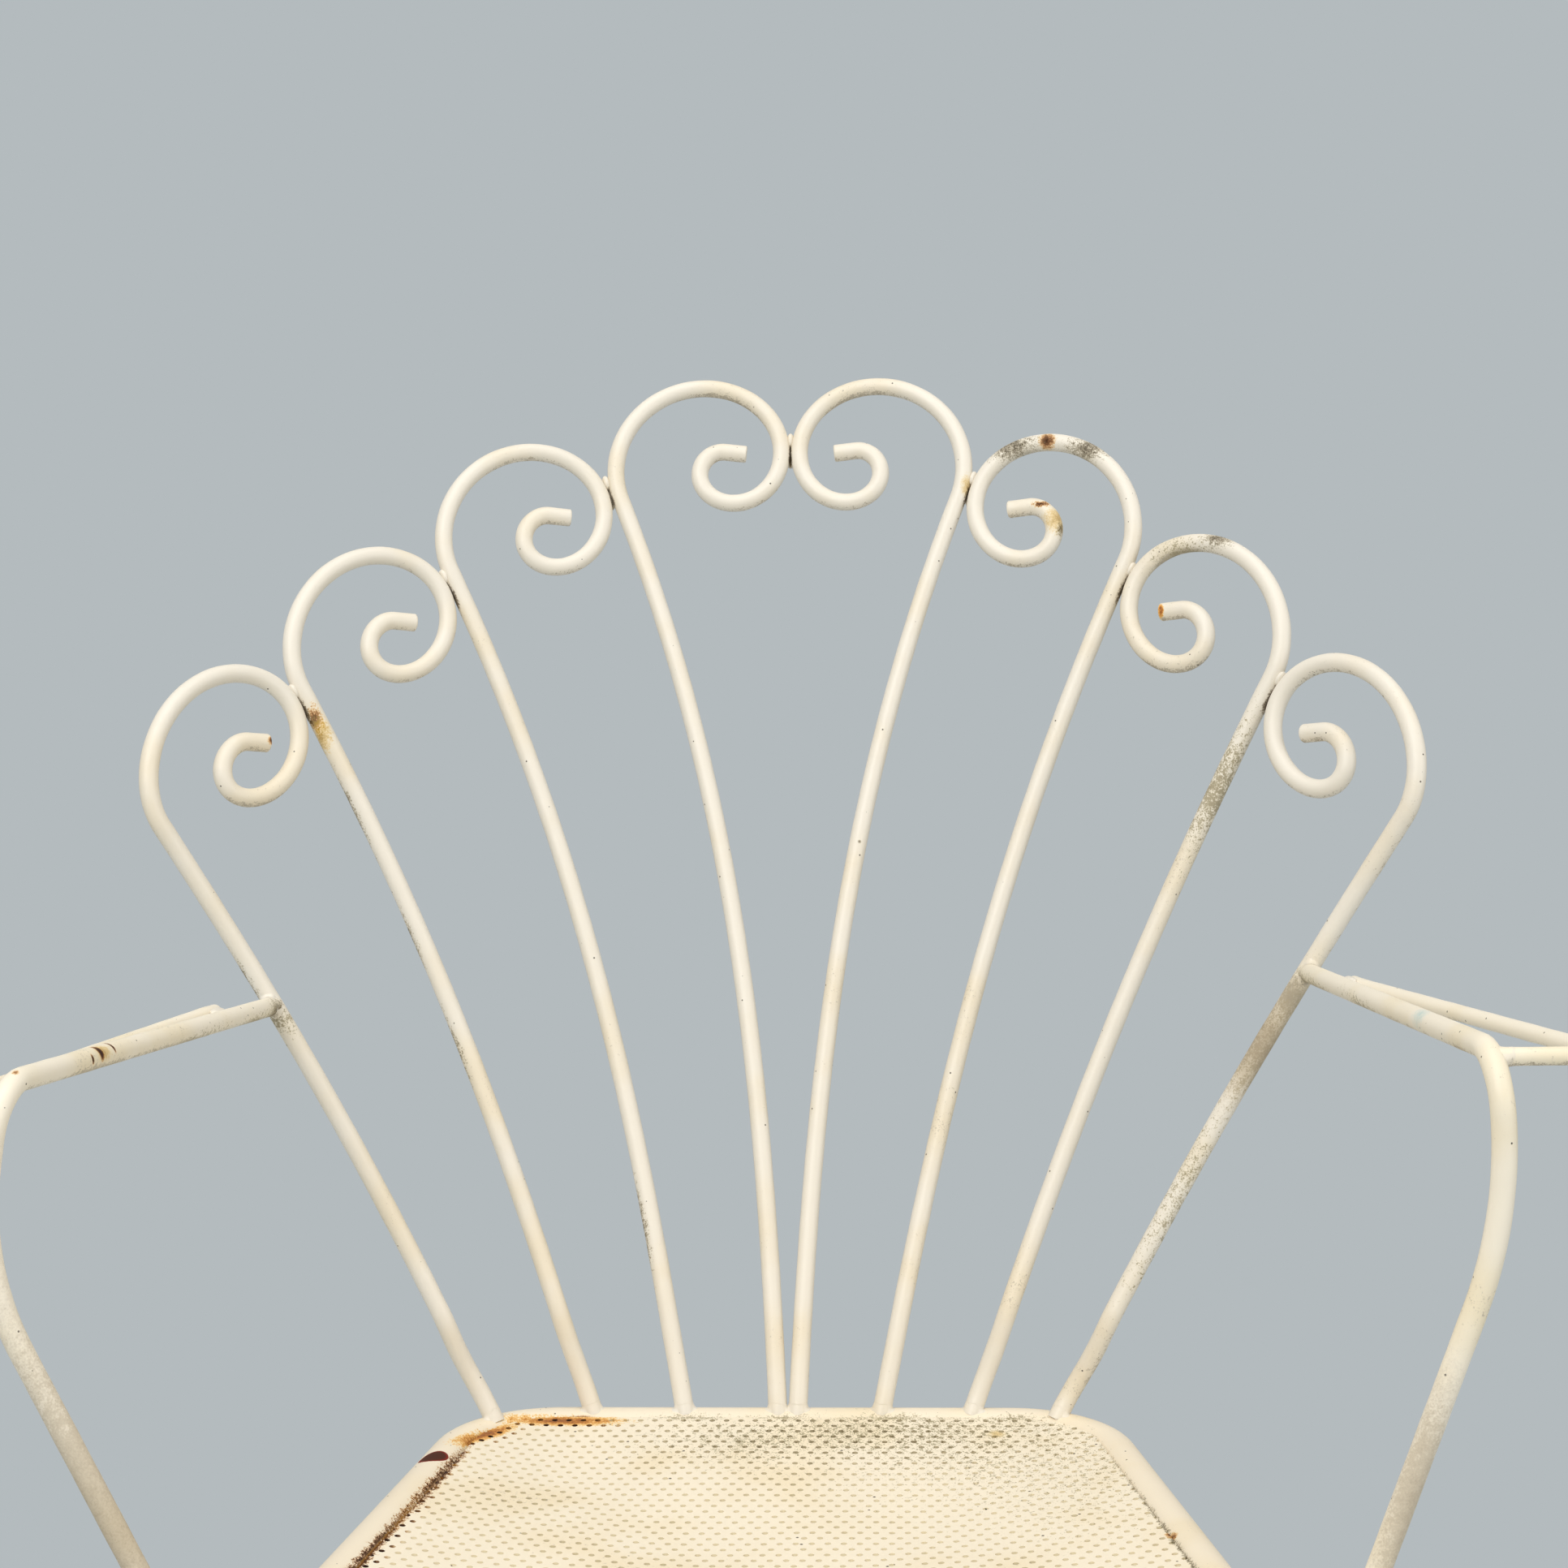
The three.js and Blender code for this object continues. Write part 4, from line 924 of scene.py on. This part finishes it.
# Welds of the arms: a collar of weld metal where each arm meets its back rod, and a wider one where its
# post meets the rim, both under the paint.
ARM_COLLAR_HEIGHT = 0.0032
BACK_COLLAR_REACH = 0.0018
POST_COLLAR_REACH = 0.0024
for name, arm in ARMS.items():
    forward = unit(arm["corner"] - arm["back_point"])
    arm_end = arm["back_point"] + ROD_RADIUS * forward
    back_weld = collar(arm_end, forward, ROD_RADIUS, (fan[f"{name}_4"], ROD_RADIUS), ARM_COLLAR_HEIGHT,
                       BACK_COLLAR_REACH, phase=1 + arm["side"])
    post_up = unit(arm["line"][1] - arm["line"][0])
    post_end = arm["line"][0] + RIM_RADIUS * post_up
    post_weld = collar(post_end, post_up, ROD_RADIUS, on_rim, ARM_COLLAR_HEIGHT,
                       POST_COLLAR_REACH, phase=2 + arm["side"])
    for kind, (points, faces) in (("back", back_weld), ("post", post_weld)):
        piece = mesh_piece(f"arm_{kind}_collar_{name}", points, faces, weld_paint)
        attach(piece, "root")
        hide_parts(f"weld_arm_{kind}_{name}")

# Armrest loops: a thinner rod welded beside each arm near the back, which draws away from it in a straight
# line, turns round and comes back square to the arm's bend. The left one droops. Same enamel.
LOOP_RADIUS = 0.003
LOOP_START_Y = -0.064
LOOP_WELDED_RUN = 0.012
LOOP_TIP_OUT = 0.038
LOOP_BENDS = [0.060, 0.012]
LOOP_END_TURN = math.radians(30)
LOOP_SIDES = 20
TOUCH_GAP = 0.0001

for name, arm in ARMS.items():
    back_point, corner, droop = arm["back_point"], arm["corner"], math.radians(arm["droop"])
    forward = unit(corner - back_point)
    out = np.array([arm["side"] * math.cos(droop), 0, -math.sin(droop)])
    out = unit(out - (out @ forward) * forward)
    start = back_point + (LOOP_START_Y - back_point[1]) / forward[1] * forward
    start_raise = math.radians(arm["start_raise"])
    start_out = np.array([arm["side"] * math.cos(start_raise), 0, math.sin(start_raise)])
    beside = (ROD_RADIUS + LOOP_RADIUS + TOUCH_GAP) * unit(start_out - (start_out @ forward) * forward)
    bend_start = corner - ARM_BEND * forward
    bend_drop = np.array([0, 0, -ARM_BEND * (1 - math.cos(LOOP_END_TURN))])
    in_arm_bend = bend_start + ARM_BEND * math.sin(LOOP_END_TURN) * forward + bend_drop
    loop_tip = in_arm_bend + LOOP_TIP_OUT * out
    loop_corners = [start + beside, start + LOOP_WELDED_RUN * forward + beside, loop_tip, in_arm_bend]
    arm["loop"] = bent(loop_corners, LOOP_BENDS, ARM_STEP)
    line, radii = with_round_end(arm["loop"][::-1], LOOP_RADIUS, ROD_END_EDGE)
    points, faces = bar(line, brushed(line, radii, phase=0.6), LOOP_SIDES, (0, 0, 1))
    paint = enamel(f"brushed_enamel_loop_{name}", ARM_CREAM, ARM_CREAM_YELLOWED, arm["grime"])
    piece = mesh_piece(f"arm_hoop_{name}", points, faces, paint)
    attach(piece, "root")
    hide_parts(f"arm_loop_{name}")

# Welds of the loops: a bead on top of the arm where the loop starts, and a small collar where it ends
# against the arm's bend, both under the paint.
LOOP_BEAD_SIZES = (0.0022, 0.0016, 0.0060)
LOOP_BEAD_UP = 0.0020
LOOP_COLLAR_HEIGHT = 0.0026
LOOP_COLLAR_REACH = 0.0014
for name, arm in ARMS.items():
    centre, across, gap, along = touch(arm["loop"][2:5], arm["line"])
    top = unit(np.cross(across, along))
    top *= math.copysign(1, top[2])
    bead_centre = centre + LOOP_BEAD_UP * top
    start_bead = ellipsoid(bead_centre, (across, top, along), LOOP_BEAD_SIZES, BEAD_WAVE_DEPTH)
    back_along = unit(arm["loop"][-4] - arm["loop"][-1])
    loop_end = arm["loop"][-1] + ROD_RADIUS * back_along
    end_collar = collar(loop_end, back_along, LOOP_RADIUS, (arm["line"], ROD_RADIUS), LOOP_COLLAR_HEIGHT,
                        LOOP_COLLAR_REACH, phase=0.4)
    for kind, (points, faces) in (("back", start_bead), ("front", end_collar)):
        piece = mesh_piece(f"loop_{kind}_bead_{name}", points, faces, weld_paint)
        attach(piece, "root")
        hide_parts(f"weld_loop_{kind}_{name}")

# Leg hoops: two upside-down U bends of steel tube under the rim, one at the front and one at the rear,
# their legs splayed. They are outside the photograph, and painted and grimed as the rest.
LEG_RADIUS = 0.008
LEG_BEND = 0.035
LEG_STEP = 0.004
LEG_SIDES = 32
LEG_CAP_FLOOR = 0.006
LEG_CAP_PLAY = 0.001
LEG_BAR_Z = RIM_Z - RIM_RADIUS - TOUCH_GAP - LEG_RADIUS
HOOPS = {
    "front": {"bar_y": -0.320, "foot_x": 0.215, "foot_y": -0.345},
    "rear": {"bar_y": -0.055, "foot_x": 0.190, "foot_y": 0.042},
}
leg_paint = enamel("brushed_enamel_legs", CREAM, CREAM_YELLOWED, grime=0.02)
for name, hoop in HOOPS.items():
    bar_y = hoop["bar_y"]
    tops = [np.array([rail_x(side, bar_y) + side * LEG_RADIUS, bar_y, LEG_BAR_Z]) for side in (-1, 1)]
    soles = [np.array([side * hoop["foot_x"], hoop["foot_y"], 0]) for side in (-1, 1)]
    ups = [unit(top - sole) for top, sole in zip(tops, soles)]
    hoop["feet"] = list(zip(soles, ups))
    ends = [sole + (LEG_CAP_FLOOR + LEG_CAP_PLAY) * way for sole, way in hoop["feet"]]
    hoop["line"] = bent([ends[0], *tops, ends[1]], [LEG_BEND, LEG_BEND], LEG_STEP)
    radii = brushed(hoop["line"], np.full(len(hoop["line"]), LEG_RADIUS), phase=2.9)
    points, faces = bar(hoop["line"], radii, LEG_SIDES, (0, 1, 0))
    piece = mesh_piece(f"leg_tube_{name}", points, faces, leg_paint)
    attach(piece, "root")
    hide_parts(f"leg_hoop_{name}")

# Welds of the legs: where a hoop's bar crosses under a side of the rim, weld metal fills the wedge all
# round the place where they touch.
LEG_WELD_RADIUS = 0.0065
LEG_WELD_INNER = 0.0030
LEG_WELD_HOLLOW = 0.25
LEG_WELD_LUMPS = [(0.12, 3, 1), (0.08, 7, 0)]
for hoop_name, hoop in HOOPS.items():
    for side, side_name in ((-1, "left"), (1, "right")):
        centre = np.array([rail_x(side, hoop["bar_y"]), hoop["bar_y"], RIM_Z - RIM_RADIUS])
        angle = round_angles(COLLAR_SIDES)
        ring = np.hstack([np.cos(angle), np.sin(angle), 0 * angle])
        outer = centre + LEG_WELD_RADIUS * lumpy(angle, LEG_WELD_LUMPS, side) * ring
        inner = centre + LEG_WELD_INNER * ring
        upper, lower = on_bar(outer, *on_rim), on_bar(outer, hoop["line"], LEG_RADIUS)
        points, faces = fillet(upper, lower, inner, inner, LEG_WELD_HOLLOW)
        piece = mesh_piece(f"leg_bead_{hoop_name}_{side_name}", points, faces, weld_paint)
        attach(piece, "root")
        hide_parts(f"weld_leg_{hoop_name}_{side_name}")

# Foot caps: a cup of moulded polyethylene pushed over each leg's end, with its sole worn level with the
# floor. Dull, scuffed and dusty near the ground.
CAP_RADIUS = 0.0115
CAP_HEIGHT = 0.026
CAP_TAPER = 0.0012
CAP_EDGE = 0.0012
CAP_EDGE_STEPS = 5
CAP_SIDES = 40
CAP_CLOSED_TO = 0.0005
CAP_GREY = "#3F3D3B"
CAP_DUST = "#8A857B"
# Scuffs, the dust that they hold and more of it near the floor, and their waxy shine and relief.
SCUFF_MM = 1.4
NEAR_FLOOR = {"From Min": 0.016, "From Max": 0.0, "To Max": 0.25}
DUST_COVER = {"From Min": 0.55, "From Max": 0.8, "To Max": 0.6}
SCUFF_GLOSS = {"To Min": 0.45, "To Max": 0.75}
SCUFF_RELIEF = {"Strength": 0.3, "Distance": 0.0002}


def moulded(name, shade, dust_shade):
    """Moulded polyethylene: one dark grey, waxy, with fine scuffs that catch pale dust."""
    material = bpy.data.materials.new(name)
    tree = cleared_tree(material)
    where = add(tree, "TexCoord").outputs["Object"]
    height = add(tree, "SeparateXYZ", {0: where}).outputs["Z"]
    low = add(tree, "MapRange", {"Value": height, **NEAR_FLOOR}).outputs["Result"]
    scuff_values = {"Vector": where, "Scale": per_metre(SCUFF_MM), "Detail": 6.0}
    scuffs = add(tree, "TexNoise", scuff_values).outputs["Fac"]
    dusty = add(tree, "Math", {0: scuffs, 1: low}, operation="ADD").outputs[0]
    dusted = add(tree, "MapRange", {"Value": dusty, **DUST_COVER}).outputs["Result"]
    tones = {0: dusted, 6: linear(shade), 7: linear(dust_shade)}
    colour = add(tree, "Mix", tones, data_type="RGBA").outputs[2]
    rough = add(tree, "MapRange", {"Value": scuffs, **SCUFF_GLOSS}).outputs["Result"]
    bumped = add(tree, "Bump", {"Height": scuffs, **SCUFF_RELIEF})
    shader_values = {"Base Color": colour, "Roughness": rough, "Normal": bumped.outputs["Normal"]}
    shader = add(tree, "BsdfPrincipled", shader_values)
    add(tree, "OutputMaterial", {"Surface": shader.outputs[0]})
    return material


cap_plastic = moulded("moulded_polyethylene", CAP_GREY, CAP_DUST)
# The cup's profile, from the middle of its sole up its outside, over its mouth and down its bore.
bend = np.linspace(0, math.pi / 2, CAP_EDGE_STEPS)
bore = LEG_RADIUS + TOUCH_GAP
mouth = CAP_RADIUS - CAP_TAPER
radii = np.concatenate([
    [CAP_CLOSED_TO], CAP_RADIUS - CAP_EDGE + CAP_EDGE * np.sin(bend),
    [CAP_RADIUS, mouth], mouth - CAP_EDGE + CAP_EDGE * np.cos(bend), [bore, bore, CAP_CLOSED_TO],
])
heights = np.concatenate([
    [-LEG_CAP_FLOOR], -LEG_CAP_FLOOR + CAP_EDGE - CAP_EDGE * np.cos(bend),
    [LEG_CAP_FLOOR, CAP_HEIGHT - CAP_EDGE], CAP_HEIGHT - CAP_EDGE + CAP_EDGE * np.sin(bend),
    [CAP_HEIGHT, LEG_CAP_FLOOR, LEG_CAP_FLOOR],
])
for hoop_name, hoop in HOOPS.items():
    for side_name, (sole, way) in zip(("left", "right"), hoop["feet"]):
        line = sole + heights[:, None] * way
        aside = unit(np.cross(way, (0, 1, 0)))
        angle = round_angles(CAP_SIDES)
        ring = np.cos(angle) * aside + np.sin(angle) * np.cross(way, aside)
        rows = line[:, None] + radii[:, None, None] * ring
        rows[..., 2] = np.maximum(rows[..., 2], 0)
        faces = [grid_faces(len(rows), CAP_SIDES, rows_close=True)]
        piece = mesh_piece(f"plastic_foot_{hoop_name}_{side_name}", rows.reshape(-1, 3), faces, cap_plastic)
        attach(piece, "root")
        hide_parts(f"foot_cap_{hoop_name}_{side_name}")

# Studio: a plain pale grey floor that fades into a backdrop of the same grey, a broad soft lamp high at
# the front left, a weaker one at the right, and an even fill from all round.
FLOOR_HALF = 7.0
FLOOR_GREY = "#C2C8CA"
BACKDROP_GREY = "#B4BBBE"
FADE_FROM = 0.55
FADE_TO = 1.0
FILL = 0.55
FILL_WHITE = "#F7F5F0"
LAMPS = {
    "key": {"place": (-1.1, -2.2, 2.4), "size": 1.8, "power": 41},
    "side": {"place": (2.2, -1.4, 1.3), "size": 1.6, "power": 15},
    "top": {"place": (0.0, -0.5, 2.8), "size": 2.0, "power": 23},
}
LAMPS_AIM = (0, 0, 0.55)

floor_mesh = bpy.data.meshes.new("floor")
floor_corners = [(-1, -1), (1, -1), (1, 1), (-1, 1)]
floor_mesh.from_pydata([(x * FLOOR_HALF, y * FLOOR_HALF, 0) for x, y in floor_corners], [], [(0, 1, 2, 3)])
floor = bpy.data.objects.new("floor", floor_mesh)
bpy.context.scene.collection.objects.link(floor)
floor_paper = bpy.data.materials.new("floor_paper")
tree = cleared_tree(floor_paper)
floor_place = add(tree, "TexCoord").outputs["Object"]
from_middle = add(tree, "VectorMath", {0: floor_place}, operation="LENGTH").outputs["Value"]
fade_range = {"Value": from_middle, "From Min": FADE_FROM, "From Max": FADE_TO}
fade = add(tree, "MapRange", fade_range, **SMOOTH).outputs["Result"]
seen = add(tree, "LightPath").outputs["Is Camera Ray"]
far_and_seen = add(tree, "Math", {0: fade, 1: seen}, operation="MULTIPLY").outputs[0]
paper = add(tree, "BsdfDiffuse", {"Color": linear(FLOOR_GREY)})
glow = add(tree, "Emission", {"Color": linear(BACKDROP_GREY)})
blend = add(tree, "MixShader", {0: far_and_seen, 1: paper.outputs[0], 2: glow.outputs[0]})
add(tree, "OutputMaterial", {"Surface": blend.outputs[0]})
floor_mesh.materials.append(floor_paper)

world = bpy.data.worlds.new("studio")
bpy.context.scene.world = world
tree = cleared_tree(world)
seen = add(tree, "LightPath").outputs["Is Camera Ray"]
fill = add(tree, "Background", {"Color": linear(FILL_WHITE), "Strength": FILL})
backdrop = add(tree, "Background", {"Color": linear(BACKDROP_GREY)})
blend = add(tree, "MixShader", {0: seen, 1: fill.outputs[0], 2: backdrop.outputs[0]})
add(tree, "OutputWorld", {"Surface": blend.outputs[0]})

for name, lamp in LAMPS.items():
    light = bpy.data.lights.new(name, "AREA")
    light.size = lamp["size"]
    light.energy = lamp["power"]
    holder = bpy.data.objects.new(name, light)
    back = -unit(np.array(LAMPS_AIM) - np.array(lamp["place"]))
    across = unit(np.cross((0, 0, 1), back))
    lamp_matrix = np.eye(4)
    lamp_matrix[:3, :] = np.column_stack([across, np.cross(back, across), back, lamp["place"]])
    holder.matrix_world = mathutils.Matrix(lamp_matrix.tolist())
    bpy.context.scene.collection.objects.link(holder)

bpy.context.scene.view_settings.view_transform = "Standard"
